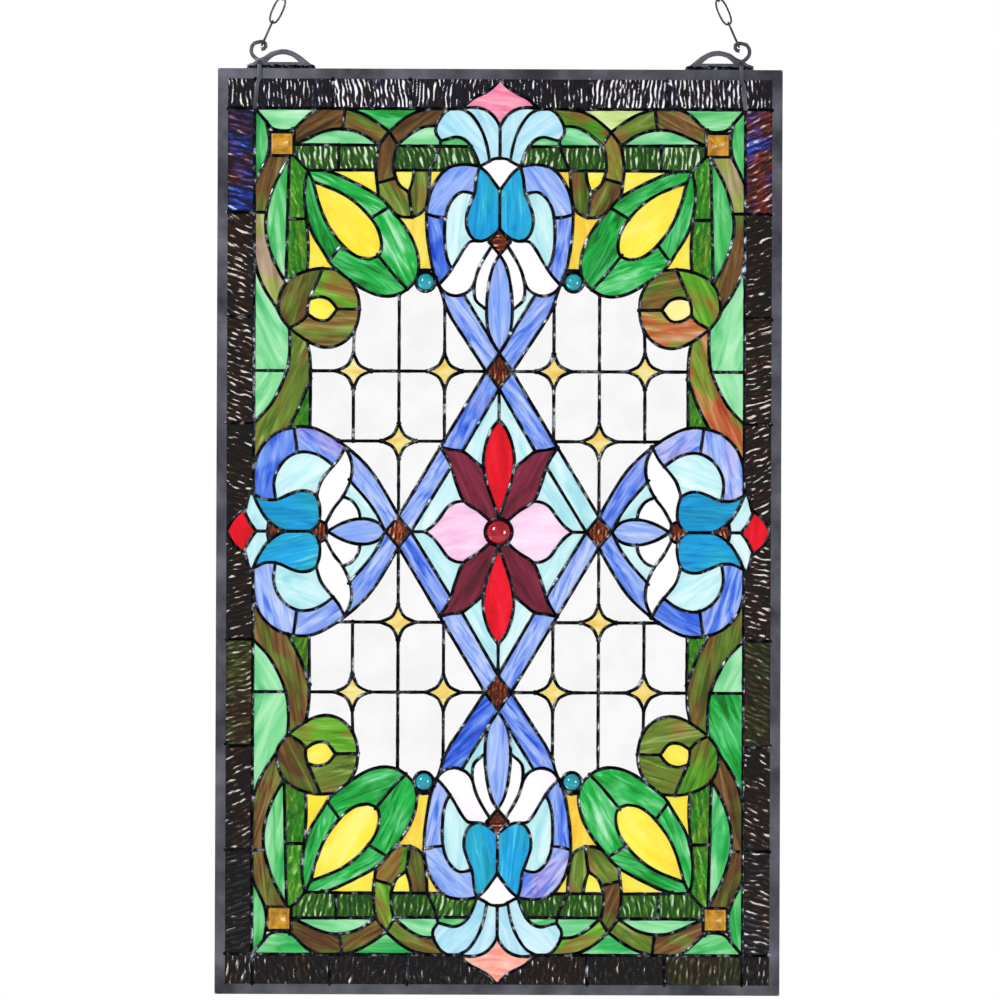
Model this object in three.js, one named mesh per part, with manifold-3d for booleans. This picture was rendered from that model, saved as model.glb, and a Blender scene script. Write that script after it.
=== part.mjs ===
// Hanging stained glass panel: copper-foil glass in a zinc channel frame, on two hangers and a chain.
// Millimetres, +Z up. The panel stands in the XZ plane with its front towards -Y.
// The origin is the top of the ring that gathers the chain, where a ceiling hook carries it.
import * as THREE from 'three';
import { ConvexGeometry } from 'three/addons/geometries/ConvexGeometry.js';
import { mergeVertices } from 'three/addons/utils/BufferGeometryUtils.js';
import Module from 'manifold-3d';

const wasm = await Module();
wasm.setup();

// Driving sizes
const panelWidth = 496;
const panelHeight = 813;
const frameFace = 9;
const channelWall = 1.5;
const glassThickness = 3;
const sideBorder = 23.5;
const topBorder = 26.5;
const leadWidth = 4;
const leadRise = 1;
const jewelSide = 17;
const nuggetDiameter = 15;
const nuggetDepth = 7;
const centreNuggetDiameter = 21;
const centreNuggetDepth = 9;
const hookInset = 38.4;
const hookRise = 20.2;
const hangerThickness = 3;
const hookWire = 3.4;
const strapWidth = 3.6;
const strapThickness = 1.6;
const linkLength = 25.4;
const linkWidth = 10.5;
const linkWire = 1.8;
const linksPerLeg = 23;
const ringDiameter = 26;
const ringWire = 3;

// Clearances
const touchGap = 0.3;
const slotGap = 0.5;
const seatGap = 2.5;
const linkBite = 0.15;

// Sizes that follow
const channelSlot = glassThickness + 2 * slotGap;
const frameDepth = channelSlot + 2 * channelWall;
const glassSeat = frameFace - channelWall - seatGap;
const leadDepth = glassThickness + 2 * leadRise;
const halfWidth = panelWidth / 2;
const halfHeight = panelHeight / 2;
const lipX = halfWidth - frameFace;
const lipZ = halfHeight - frameFace;
const fieldX = lipX - sideBorder;
const fieldZ = lipZ - topBorder;
const ringRadius = (ringDiameter - ringWire) / 2;
const ringInner = ringRadius - ringWire / 2;
const linkPitch = linkLength - 2 * linkWire + linkBite;

// The chain's first link sits in the hook's curl, which is measured from the frame's outer corner
const seatX = halfWidth - hookInset;
const seatZ = halfHeight + hookRise;
const legSpan = (linksPerLeg - 1) * linkPitch + linkLength - linkWire;
const legLength = legSpan + ringInner - touchGap - linkWire / 2;
const legRise = Math.sqrt(legLength ** 2 - seatX ** 2);
const panelCentreZ = -(seatZ + legRise + ringInner);

// Finishes
const finish = (color, roughness, metalness = 0) =>
  new THREE.MeshStandardMaterial({ color, roughness, metalness });
const zinc = finish('#5c5c62', 0.5, 0.9);
const solder = finish('#2a2c30', 0.45, 0.9);
const steel = finish('#26262a', 0.4, 0.9);
const rippleBlack = finish('#1d1418', 0.2);
const clearGlass = finish('#eef2f2', 0.1);
const kiteGlass = finish('#ff9fbe', 0.2);
const leafGlass = finish('#1fa83c', 0.2);
const yellowGlass = finish('#ffec4a', 0.2);
const vineGlass = finish('#7a6a32', 0.2);
const blueGlass = finish('#7fa6f2', 0.2);
const paleGlass = finish('#cdeef6', 0.2);
const redGlass = finish('#e00a28', 0.15);
const maroonGlass = finish('#5e0a1e', 0.15);
const pinkGlass = finish('#f9cdee', 0.2);
const amberGlass = finish('#e0a21c', 0.15);
const turquoiseGlass = finish('#12a0b0', 0.1);

// Solids
function toSolid(geometry) {
  const plain = geometry.index ? geometry.toNonIndexed() : geometry;
  plain.deleteAttribute('normal');
  plain.deleteAttribute('uv');
  const merged = mergeVertices(plain, 1e-4);
  const vertProperties = Float32Array.from(merged.attributes.position.array);
  const triVerts = Uint32Array.from(merged.index.array);
  return new wasm.Manifold(new wasm.Mesh({ numProp: 3, vertProperties, triVerts }));
}

function toGeometry(solid) {
  const { vertProperties, triVerts, numProp } = solid.getMesh();
  const geometry = new THREE.BufferGeometry();
  const positions = [];
  for (let i = 0; i < vertProperties.length; i += numProp) {
    positions.push(vertProperties[i], vertProperties[i + 1], vertProperties[i + 2]);
  }
  geometry.setAttribute('position', new THREE.Float32BufferAttribute(positions, 3));
  geometry.setIndex(Array.from(triVerts));
  return geometry;
}

const join = (solids) => solids.reduce((sum, solid) => sum.add(solid));
const cut = (solid, tools) => tools.reduce((rest, tool) => rest.subtract(tool), solid);

// A flat outline in the panel's plane, made a slab of the given thickness about that plane
function slab(outline, thickness) {
  const geometry = new THREE.ExtrudeGeometry(new THREE.Shape(outline), {
    depth: thickness,
    bevelEnabled: false,
  });
  geometry.translate(0, 0, -thickness / 2);
  geometry.rotateX(Math.PI / 2);
  return toSolid(geometry);
}

const rectangle = (x, z) => [
  new THREE.Vector2(-x, -z),
  new THREE.Vector2(x, -z),
  new THREE.Vector2(x, z),
  new THREE.Vector2(-x, z),
];

function disc(centre, radius, sides) {
  const outline = [];
  for (let i = 0; i < sides; i += 1) {
    const angle = (2 * Math.PI * i) / sides;
    outline.push(new THREE.Vector2(centre.x + radius * Math.cos(angle), centre.y + radius * Math.sin(angle)));
  }
  return outline;
}

// The pattern is drawn for one quarter, from the panel's middle, on a field and border of these sizes
const drawnFieldX = 215.5;
const drawnFieldZ = 371.5;
const drawnSideBorder = 23.5;
const drawnTopBorder = 26.5;

const stretch = (value, drawnField, field, drawnBorder, border) =>
  value <= drawnField
    ? (value * field) / drawnField
    : field + ((value - drawnField) * border) / drawnBorder;

const place = (x, z) => new THREE.Vector2(
  stretch(x, drawnFieldX, fieldX, drawnSideBorder, sideBorder),
  stretch(z, drawnFieldZ, fieldZ, drawnTopBorder, topBorder),
);

const straight = (...points) => points.map(([x, z]) => place(x, z));

// A bent lead line: a smooth curve through hand-set points, faceted once for each of its spans
const curve = (...points) => new THREE.SplineCurve(straight(...points)).getPoints(points.length - 1);

// Lead lines of one quarter that part the groups of glass
const lines = {
  kiteTop: curve([0, 398], [9, 388.5], [21, 382], [34, 371.5]),
  kiteFoot: curve([34, 371.5], [19, 372.3], [8, 366], [0, 356]),
  fieldTop: straight([34, 371.5], [215.5, 371.5]),
  fieldSide: straight([215.5, 371.5], [215.5, 50]),
  fieldSideLow: straight([215.5, 50], [215.5, 38]),
  petalOuter: curve([34, 371.5], [46, 369], [56, 357], [52, 343.5]),
  petalInner: curve([52, 343.5], [37, 346], [26, 338.5], [18, 321]),
  ribbonTop: curve([18, 321], [32, 323], [47, 318], [58.5, 303], [64, 283], [63.5, 257], [53.5, 217]),
  ribbonTopLow: curve([53.5, 217], [47, 197], [11.5, 141]),
  crossTop: straight([11.5, 141], [0, 126]),
  diamondHigh: straight([11.5, 141], [51.5, 74.3]),
  diamondLow: straight([51.5, 74.3], [88, 13.5]),
  crossSide: straight([88, 13.5], [77, 0]),
  redHigh: curve([0, 98.5], [9.5, 83], [13.4, 57]),
  redLow: curve([13.4, 57], [8.5, 36], [0, 9]),
  maroonTop: curve([51.5, 74.3], [31.5, 70.5], [13.4, 57]),
  maroonSide: curve([51.5, 74.3], [40.5, 53], [30.5, 27]),
  maroonFoot: curve([30.5, 27], [18, 18.5], [7, 8]),
  pinkTop: curve([30.5, 27], [43, 23], [52, 12], [65, 0]),
  sideRibbon: curve([88, 13.5], [110, 50.5], [135, 75], [166, 91.4]),
  sideRibbonEnd: curve([166, 91.4], [187, 90], [206, 77], [215.5, 50]),
  palePoint: curve([215.5, 38], [220.5, 29], [224, 19]),
  sideKiteFoot: curve([224, 19], [219, 8.5], [213, 0]),
  sideKiteTop: curve([224, 19], [232.5, 11.5], [239, 0]),
  clearSide: curve([166, 91.4], [165.8, 120], [168.5, 166]),
  budRound: curve([168.5, 166], [150, 161.5], [133, 169], [123.5, 190], [125, 209.5], [131, 220.5]),
  leafFoot: curve([73.5, 221.5], [81, 213], [98, 206.6], [114, 210], [131, 220.5]),
  leafLower: curve([131, 220.5], [147.5, 234], [164, 260.5], [171.5, 290], [169, 317]),
  leafUpper: curve([169, 317], [143, 313.5], [117, 301], [92.5, 279.5], [75.5, 254], [73.5, 221.5]),
  heartUpper: curve([164, 307], [138, 296.5], [115, 277.3], [103.8, 252.5], [106, 242.8], [114, 239.3]),
  heartLower: curve([114, 239.3], [134, 247.5], [153, 273], [164, 307]),
};
const jewelCentre = place(191.7, 340.3);
const nuggetCentre = place(65, 219.5);
const centre = place(0, 0);

// Quarters and halves
const turned = (points) => [...points].reverse();
const flipped = (points, mx, mz) => points.map((point) => new THREE.Vector2(point.x * mx, point.y * mz));

function runOn(stretches) {
  const run = [];
  for (const point of stretches.flat()) {
    const last = run[run.length - 1];
    if (!last || last.distanceTo(point) > 1e-6) run.push(point);
  }
  return run;
}

function closed(...stretches) {
  const outline = runOn(stretches);
  if (outline[0].distanceTo(outline[outline.length - 1]) < 1e-6) outline.pop();
  return outline;
}

// A half outline that starts and ends on an axis, completed by its mirror image
const acrossX = (half) => closed(half, turned(flipped(half, -1, 1)));
const acrossZ = (half) => closed(half, turned(flipped(half, 1, -1)));

// The border's glass runs on under the frame's lip
const seatEdgeX = lipX + glassSeat + leadWidth / 2 + touchGap;
const seatEdgeZ = lipZ + glassSeat + leadWidth / 2 + touchGap;

// Glass groups of one quarter, and those that sit across an axis, as half outlines
const quarterGroups = {
  border: closed(
    lines.kiteTop, lines.fieldTop, lines.fieldSide, lines.fieldSideLow, lines.palePoint, lines.sideKiteTop,
    [new THREE.Vector2(seatEdgeX, 0), new THREE.Vector2(seatEdgeX, seatEdgeZ)],
    [new THREE.Vector2(0, seatEdgeZ)],
  ),
  foliage: closed(
    lines.fieldTop, lines.fieldSide, turned(lines.sideRibbonEnd), lines.clearSide, lines.budRound,
    lines.leafLower, lines.leafUpper, [nuggetCentre], turned(lines.ribbonTop), turned(lines.petalInner),
    turned(lines.petalOuter),
  ),
  leaf: closed(lines.leafUpper, lines.leafFoot, lines.leafLower),
  leaf_heart: closed(lines.heartUpper, lines.heartLower),
  clear_field: closed(
    [nuggetCentre], lines.leafFoot, turned(lines.budRound), turned(lines.clearSide),
    turned(lines.sideRibbon), turned(lines.diamondLow), turned(lines.diamondHigh),
    turned(lines.ribbonTopLow),
  ),
  maroon_petal: closed(
    lines.maroonTop, lines.redLow, turned(lines.maroonFoot), turned(lines.maroonSide),
  ),
};
const topGroups = {
  kite: acrossX(closed(lines.kiteTop, lines.kiteFoot)),
  fleur: acrossX(closed(
    turned(lines.kiteFoot), lines.petalOuter, lines.petalInner, lines.ribbonTop, lines.ribbonTopLow,
    lines.crossTop,
  )),
  centre_ground: acrossX(closed(
    turned(lines.crossTop), lines.diamondHigh, lines.maroonTop, turned(lines.redHigh),
  )),
  red_petal: acrossX(closed(lines.redHigh, lines.redLow)),
};
const sideGroups = {
  kite: acrossZ(closed(turned(lines.sideKiteTop), lines.sideKiteFoot)),
  fleur: acrossZ(closed(
    turned(lines.crossSide), lines.sideRibbon, lines.sideRibbonEnd, lines.fieldSideLow, lines.palePoint,
    lines.sideKiteFoot,
  )),
  centre_ground: acrossZ(closed(
    turned(lines.pinkTop), turned(lines.maroonSide), lines.diamondLow, lines.crossSide,
  )),
  pink_petal: acrossZ(closed(turned(lines.maroonFoot), lines.pinkTop)),
};

// An outline drawn in by a distance with mitred corners; an edge too short to last is left out
function inset(outline, distance) {
  const way = THREE.ShapeUtils.isClockWise(outline) ? -1 : 1;
  let edges = outline.map((start, i) => {
    const along = outline[(i + 1) % outline.length].clone().sub(start).normalize();
    const inward = new THREE.Vector2(-along.y, along.x).multiplyScalar(way * distance);
    return { start: start.clone().add(inward), along };
  });
  let corners = [];
  let lost = -1;
  do {
    if (lost >= 0) edges = edges.filter((edge, i) => i !== lost);
    corners = edges.map((edge, i) => meet(edges[(i + edges.length - 1) % edges.length], edge));
    lost = edges.findIndex((edge, i) => {
      const next = corners[(i + 1) % edges.length];
      return next.clone().sub(corners[i]).dot(edge.along) < 0;
    });
  } while (lost >= 0 && edges.length > 3);
  return corners;
}

function meet(before, after) {
  const turn = before.along.cross(after.along);
  if (Math.abs(turn) < 1e-6) return after.start.clone();
  const reach = after.start.clone().sub(before.start).cross(after.along) / turn;
  return before.start.clone().addScaledVector(before.along, reach);
}

// A short straight lead line of the given width
function bar([from, to], width) {
  const side = to.clone().sub(from).normalize().multiplyScalar(width / 2);
  const across = new THREE.Vector2(-side.y, side.x);
  return [
    from.clone().add(across), from.clone().sub(across), to.clone().sub(across), to.clone().add(across),
  ];
}

const square = (middle, half) => rectangle(half, half).map((corner) => corner.add(middle));

// Seats of the round gems and the square jewels, and the lead round them
const seatSides = 14;
const nuggetSeat = nuggetDiameter / 2 + touchGap;
const centreSeat = centreNuggetDiameter / 2 + touchGap;
const jewelSeat = jewelSide / 2 + touchGap;
const leadRing = leadWidth * 0.6;

// What stands inside a group's outline and stays lead, widened by a gap for the glass round it
const nuggetIsland = (gap) => disc(nuggetCentre, nuggetSeat + leadRing + gap, seatSides);
const centreIsland = (gap) => disc(centre, centreSeat + leadRing + gap, seatSides);
const islands = {
  border: () => [],
  foliage: (gap) => [
    nuggetIsland(gap),
    square(jewelCentre, jewelSeat + leadRing + gap),
    bar([jewelCentre, lines.leafLower[lines.leafLower.length - 1]], leadWidth + 2 * gap),
  ],
  leaf: (gap) => [
    nuggetIsland(gap),
    inset(quarterGroups.leaf_heart, -leadWidth / 2 - gap),
    bar([lines.heartUpper[0], lines.leafUpper[0]], leadWidth + 2 * gap),
  ],
  leaf_heart: () => [],
  clear_field: (gap) => [nuggetIsland(gap)],
  maroon_petal: (gap) => [centreIsland(gap)],
  kite: () => [],
  fleur: () => [],
  centre_ground: () => [],
  red_petal: (gap) => [centreIsland(gap)],
  pink_petal: (gap) => [centreIsland(gap)],
};

// A group's glass, or with no gap the opening that it leaves in the lattice
function paneSolid({ kind, outline, mx, mz }, gap, thickness) {
  const pane = slab(flipped(inset(outline, leadWidth / 2 + gap), mx, mz), thickness);
  return cut(pane, islands[kind](gap).map((island) => slab(flipped(island, mx, mz), 2 * thickness)));
}

// The part's scene graph: everything on the panel hangs below the origin
const part = new THREE.Group();
const panel = new THREE.Group();
panel.position.z = panelCentreZ;
part.add(panel);

function addPiece(group, name, solid, material) {
  const mesh = new THREE.Mesh(solid.isBufferGeometry ? solid : toGeometry(solid), material);
  mesh.name = name;
  group.add(mesh);
  return mesh;
}

// Frame: four mitred lengths of channel with the slot towards the glass
const slotRoom = slab(rectangle(halfWidth - channelWall, halfHeight - channelWall), channelSlot);
const mitreGap = touchGap / 2 * Math.SQRT2;
const frameBars = {
  frame_top: [[-1, 1], [1, 1]],
  frame_bottom: [[1, -1], [-1, -1]],
  frame_left: [[-1, -1], [-1, 1]],
  frame_right: [[1, 1], [1, -1]],
};
for (const [name, [[sx0, sz0], [sx1, sz1]]] of Object.entries(frameBars)) {
  const lengthwise = sz0 === sz1;
  const inX = lengthwise ? mitreGap : 0;
  const inZ = lengthwise ? 0 : mitreGap;
  const bar = [
    new THREE.Vector2(sx0 * (halfWidth - inX), sz0 * (halfHeight - inZ)),
    new THREE.Vector2(sx1 * (halfWidth - inX), sz1 * (halfHeight - inZ)),
    new THREE.Vector2(sx1 * (lipX - inX), sz1 * (lipZ - inZ)),
    new THREE.Vector2(sx0 * (lipX - inX), sz0 * (lipZ - inZ)),
  ];
  addPiece(panel, name, cut(slab(bar, frameDepth), [slotRoom]), zinc);
}

// Glass and leading: each group of glass and the opening for it are made from the same outline
const corners = {
  top_right: [1, 1],
  top_left: [-1, 1],
  bottom_left: [-1, -1],
  bottom_right: [1, -1],
};
const panes = [];
for (const [corner, [mx, mz]] of Object.entries(corners)) {
  for (const [kind, outline] of Object.entries(quarterGroups)) {
    panes.push({ name: `${kind}_${corner}`, kind, outline, mx, mz });
  }
}
for (const [kind, outline] of Object.entries(topGroups)) {
  panes.push({ name: `${kind}_top`, kind, outline, mx: 1, mz: 1 });
  panes.push({ name: `${kind}_bottom`, kind, outline, mx: 1, mz: -1 });
}
for (const [kind, outline] of Object.entries(sideGroups)) {
  panes.push({ name: `${kind}_right`, kind, outline, mx: 1, mz: 1 });
  panes.push({ name: `${kind}_left`, kind, outline, mx: -1, mz: 1 });
}

const glassFinishes = {
  border: rippleBlack,
  foliage: vineGlass,
  leaf: leafGlass,
  leaf_heart: yellowGlass,
  clear_field: clearGlass,
  maroon_petal: maroonGlass,
  kite: kiteGlass,
  fleur: blueGlass,
  centre_ground: paleGlass,
  red_petal: redGlass,
  pink_petal: pinkGlass,
};
for (const pane of panes) {
  addPiece(panel, pane.name, paneSolid(pane, touchGap, glassThickness), glassFinishes[pane.kind]);
}

const bores = [slab(disc(centre, centreSeat, seatSides), 2 * leadDepth)];
for (const [mx, mz] of Object.values(corners)) {
  bores.push(slab(flipped(disc(nuggetCentre, nuggetSeat, seatSides), mx, mz), 2 * leadDepth));
  bores.push(slab(flipped(square(jewelCentre, jewelSeat), mx, mz), 2 * leadDepth));
}
const leadSheet = slab(rectangle(lipX - touchGap, lipZ - touchGap), leadDepth);
const openings = panes.map((pane) => paneSolid(pane, 0, 2 * leadDepth));
addPiece(panel, 'leading', cut(leadSheet, [...openings, ...bores]), solder);

// Round gems: a flat back and a domed front, turned about an axis that points to the front
function gem(diameter, depth, sides) {
  const radius = diameter / 2;
  const back = glassThickness / 2;
  const rim = depth * 0.35;
  const geometry = new THREE.LatheGeometry([
    new THREE.Vector2(0, -back),
    new THREE.Vector2(radius, -back),
    new THREE.Vector2(radius, rim - back),
    new THREE.Vector2(radius * 0.72, depth * 0.8 - back),
    new THREE.Vector2(0, depth - back),
  ], sides);
  geometry.rotateX(Math.PI);
  return toGeometry(toSolid(geometry));
}

// Square jewels: a pressed block with a low pyramid, cut off flat, on its front
function squareJewel(side) {
  const corner = side / Math.SQRT2;
  const back = glassThickness / 2;
  const geometry = new THREE.LatheGeometry([
    new THREE.Vector2(0, -back),
    new THREE.Vector2(corner, -back),
    new THREE.Vector2(corner, back),
    new THREE.Vector2(corner * 0.45, back + glassThickness * 0.6),
    new THREE.Vector2(0, back + glassThickness * 0.6),
  ], 4);
  geometry.rotateY(Math.PI / 4);
  geometry.rotateX(Math.PI);
  return toGeometry(toSolid(geometry));
}

for (const [corner, [mx, mz]] of Object.entries(corners)) {
  const jewel = addPiece(panel, `jewel_${corner}`, squareJewel(jewelSide), amberGlass);
  jewel.position.set(jewelCentre.x * mx, 0, jewelCentre.y * mz);
  const nugget = addPiece(panel, `nugget_${corner}`, gem(nuggetDiameter, nuggetDepth, 12), turquoiseGlass);
  nugget.position.set(nuggetCentre.x * mx, 0, nuggetCentre.y * mz);
}
addPiece(panel, 'centre_nugget', gem(centreNuggetDiameter, centreNuggetDepth, 14), redGlass);

// Hanger: a cast plate with an arch on the frame's top, a hook that curls in, and a solder strap.
// It is drawn from the foot below the hook's curl, for a curl at this height
const drawnHookRise = 20.2;
const hangerScale = hookRise / drawnHookRise;
const hookAt = (along, up) => new THREE.Vector2(hookInset + along * hangerScale, touchGap + up * hangerScale);

const archOutline = [
  hookAt(-12.8, 0),
  hookAt(-12.8, 3.1),
  hookAt(-7.4, 4.9),
  hookAt(-3.4, 8.2),
  hookAt(1.8, 10.1),
  ...new THREE.SplineCurve([
    hookAt(7.6, 14.1),
    hookAt(19.3, 16.7),
    hookAt(31.6, 12.6),
    hookAt(47.3, 0),
  ]).getPoints(7),
];
const archHole = new THREE.SplineCurve([
  hookAt(4.8, 5.3),
  hookAt(10.6, 10.3),
  hookAt(18.6, 12.1),
  hookAt(26.6, 10.1),
  hookAt(32.4, 5.3),
]).getPoints(8);

// The hook's centre line: up from the plate round its outer side, then round the chain's first link
const curlRadius = hookWire / 2 + 2 * touchGap + linkWire * Math.SQRT1_2;
const curlFrom = 120;
const curlTo = -100;
const curlStep = 44;
const hookLine = [[0.1, 6.2], [-4.9, 8.3], [-8.6, 12.3], [-9.2, 16.9], [-7.1, 21.3]].map(([along, up]) => {
  const point = hookAt(along, up);
  return new THREE.Vector3(point.x, 0, point.y);
});
for (let degrees = curlFrom; degrees >= curlTo; degrees -= curlStep) {
  const angle = THREE.MathUtils.degToRad(degrees);
  hookLine.push(new THREE.Vector3(
    hookInset + curlRadius * Math.cos(angle),
    0,
    hookRise + curlRadius * Math.sin(angle),
  ));
}

function ellipse(radiusX, radiusY, sides) {
  const points = [];
  for (let i = 0; i < sides; i += 1) {
    const angle = (2 * Math.PI * (i + 0.5)) / sides;
    points.push(new THREE.Vector2(radiusX * Math.cos(angle), radiusY * Math.sin(angle)));
  }
  return new THREE.Shape(points);
}

const rod = (path, section, steps) =>
  new THREE.ExtrudeGeometry(section, { extrudePath: path, steps, bevelEnabled: false });

const strapFront = -(frameDepth / 2 + touchGap + strapThickness / 2);
const strapBack = -(leadDepth / 2 + touchGap + strapThickness / 2);
const strapX = hookAt(-1.9, 0).x;
const strapTop = hookAt(0, 7.2).y;
const strapBend = hookAt(0, 2.7).y;
const cornerSeamX = halfWidth - fieldX;
const strapLine = [
  new THREE.Vector3(strapX, 0, strapTop),
  new THREE.Vector3(strapX, strapFront, strapBend),
  new THREE.Vector3(strapX, strapFront, -frameFace),
  new THREE.Vector3((strapX + cornerSeamX) / 2, strapBack, -frameFace - strapWidth),
  new THREE.Vector3(cornerSeamX, strapBack, fieldZ - halfHeight),
];

function hangerSolid() {
  const outline = new THREE.Shape(archOutline);
  outline.holes.push(new THREE.Path(turned(archHole)));
  const plate = new THREE.ExtrudeGeometry(outline, { depth: hangerThickness, bevelEnabled: false });
  plate.translate(0, 0, -hangerThickness / 2);
  plate.rotateX(Math.PI / 2);
  const hook = rod(new THREE.CatmullRomCurve3(hookLine), ellipse(hookWire / 2, hookWire / 2, 6), 15);
  return join([toSolid(plate), toSolid(hook), strapSolid()]);
}

// The strap runs down the front of the frame and the border's corner seam, bent from flat strip
function strapSolid() {
  const bends = strapLine.map((point, i) => {
    const before = strapLine[Math.max(i - 1, 0)];
    const after = strapLine[Math.min(i + 1, strapLine.length - 1)];
    const along = after.clone().sub(before).normalize();
    const out = new THREE.Vector3(0, -along.z, along.y).setLength(strapThickness / 2);
    const across = new THREE.Vector3(strapWidth / 2, 0, 0);
    return [
      point.clone().add(out).sub(across),
      point.clone().add(out).add(across),
      point.clone().sub(out).add(across),
      point.clone().sub(out).sub(across),
    ];
  });
  return join(bends.slice(1).map((bend, i) => toSolid(new ConvexGeometry([...bends[i], ...bend]))));
}

// A mirror image about the panel's middle, with the faces turned back outwards
function mirrorImage(geometry) {
  const image = geometry.clone().scale(-1, 1, 1);
  const index = image.index.array;
  for (let i = 0; i < index.length; i += 3) {
    const first = index[i];
    index[i] = index[i + 1];
    index[i + 1] = first;
  }
  return image;
}

const hangerLeft = toGeometry(hangerSolid()).translate(-halfWidth, 0, halfHeight);
addPiece(panel, 'hanger_left', hangerLeft, zinc);
addPiece(panel, 'hanger_right', mirrorImage(hangerLeft), zinc);

// Chain: links of bent wire, every other one turned a quarter, in two legs that meet at the ring
function linkSolid(turn) {
  const inner = { x: linkWidth / 2 - linkWire, z: linkLength / 2 - linkWire };
  const outline = (x, z, cutBack) => [
    new THREE.Vector2(x, z - cutBack), new THREE.Vector2(x - cutBack, z),
    new THREE.Vector2(-x + cutBack, z), new THREE.Vector2(-x, z - cutBack),
    new THREE.Vector2(-x, -z + cutBack), new THREE.Vector2(-x + cutBack, -z),
    new THREE.Vector2(x - cutBack, -z), new THREE.Vector2(x, -z + cutBack),
  ];
  const shape = new THREE.Shape(outline(linkWidth / 2, linkLength / 2, linkWidth * 0.32));
  shape.holes.push(new THREE.Path(outline(inner.x, inner.z, linkWidth * 0.32 - linkWire * 0.4)));
  const geometry = new THREE.ExtrudeGeometry(shape, { depth: linkWire, bevelEnabled: false });
  geometry.translate(0, 0, -linkWire / 2);
  geometry.rotateX(Math.PI / 2);
  geometry.rotateZ(turn);
  return geometry;
}

function legSolid() {
  const links = [];
  for (let i = 0; i < linksPerLeg; i += 1) {
    const link = linkSolid(i % 2 === 0 ? Math.PI / 2 : 0);
    link.translate(0, 0, linkLength / 2 - linkWire / 2 + i * linkPitch);
    links.push(toSolid(link));
  }
  return join(links);
}

const lean = Math.asin(seatX / legLength);
const legGeometry = toGeometry(legSolid());
for (const [side, mirror] of [['left', -1], ['right', 1]]) {
  const leg = addPiece(panel, `chain_${side}`, legGeometry, steel);
  leg.position.set(mirror * seatX, 0, seatZ);
  leg.rotation.y = -mirror * lean;
}

// The ring that gathers the chain; its inside top is the origin
const ringSides = 12;
const ringGeometry = new THREE.TorusGeometry(ringRadius, ringWire / 2, 6, ringSides);
ringGeometry.rotateX(Math.PI / 2);
ringGeometry.translate(0, 0, -ringInner);
addPiece(part, 'ring', toGeometry(toSolid(ringGeometry)), steel);

export default part;
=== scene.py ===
import math
import random
import bmesh
import bpy
import numpy
from mathutils import Matrix, Vector
from mathutils.geometry import delaunay_2d_cdt
from mathutils.noise import noise


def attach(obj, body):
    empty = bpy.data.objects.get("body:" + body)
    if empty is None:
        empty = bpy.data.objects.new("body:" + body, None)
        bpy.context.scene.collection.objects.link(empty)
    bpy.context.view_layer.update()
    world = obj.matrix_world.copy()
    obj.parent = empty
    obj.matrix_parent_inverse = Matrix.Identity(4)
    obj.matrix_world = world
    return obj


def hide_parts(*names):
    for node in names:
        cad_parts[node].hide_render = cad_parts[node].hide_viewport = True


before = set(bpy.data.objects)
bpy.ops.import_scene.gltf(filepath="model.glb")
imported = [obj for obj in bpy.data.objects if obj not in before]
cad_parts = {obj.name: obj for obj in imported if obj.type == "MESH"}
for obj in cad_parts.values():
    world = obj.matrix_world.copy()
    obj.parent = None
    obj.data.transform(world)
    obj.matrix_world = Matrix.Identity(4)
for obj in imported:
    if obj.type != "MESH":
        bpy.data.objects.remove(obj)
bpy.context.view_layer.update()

# Lengths are millimetres from the panel's middle, x to the right and z up, unless a name says metres
panelMiddle = -0.90745  # height of the panel's middle in the frame, metres
mm = 0.001


def colour(code, power=1.0):
    # sRGB hex to linear; a power under 1 lightens glass that light crosses twice
    parts = [int(code[i:i + 2], 16) / 255 for i in (1, 3, 5)]
    linear = [c / 12.92 if c <= 0.04045 else ((c + 0.055) / 1.055) ** 2.4 for c in parts]
    return (*[c ** power for c in linear], 1.0)


def addNode(tree, kind, settings=None, links=None):
    node = tree.nodes.new(kind)
    for name, value in (settings or {}).items():
        if isinstance(name, str) and hasattr(node, name):
            setattr(node, name, value)
        else:
            node.inputs[name].default_value = value
    for name, source in (links or {}).items():
        tree.links.new(source, node.inputs[name])
    return node


def addRamp(tree, stops, source, power=1.0):
    ramp = addNode(tree, "ShaderNodeValToRGB", None, {"Fac": source})
    elements = ramp.color_ramp.elements
    while len(elements) < len(stops):
        elements.new(1.0)
    for element, (place, code) in zip(elements, stops):
        element.position = place
        element.color = colour(code, power)
    return ramp


def startMaterial(name, settings):
    material = bpy.data.materials.new(name)
    material.use_nodes = True
    tree = material.node_tree
    tree.nodes.clear()
    shader = addNode(tree, "ShaderNodeBsdfPrincipled", settings)
    addNode(tree, "ShaderNodeOutputMaterial", None, {"Surface": shader.outputs[0]})
    return material, tree, shader


# ---- metals
# stops: colours of the clouding, dark to light; streak: its length and width in mm
metalLook = {
    "zinc": {"stops": ((0.34, "#3C3C44"), (0.68, "#6C6C77")), "streak": (48, 48), "roughness": 0.4},
    # the solder's palest stop is a painted glint of light
    "solder": {"stops": ((0.45, "#0B0C0F"), (0.57, "#282B31"), (0.69, "#989EA6")), "streak": (7, 4),
               "roughness": 0.27},
    "steel": {"stops": ((0.34, "#26272B"), (0.68, "#5E6068")), "streak": (6, 1.2), "roughness": 0.32},
}
# grain in mm and its depth in metres; smoother, rougher: how far the roughness strays in the clouding
metalSkin = {"grain": 0.9, "depth": 0.0002, "strength": 0.25, "smoother": 0.08, "rougher": 0.14}


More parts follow.
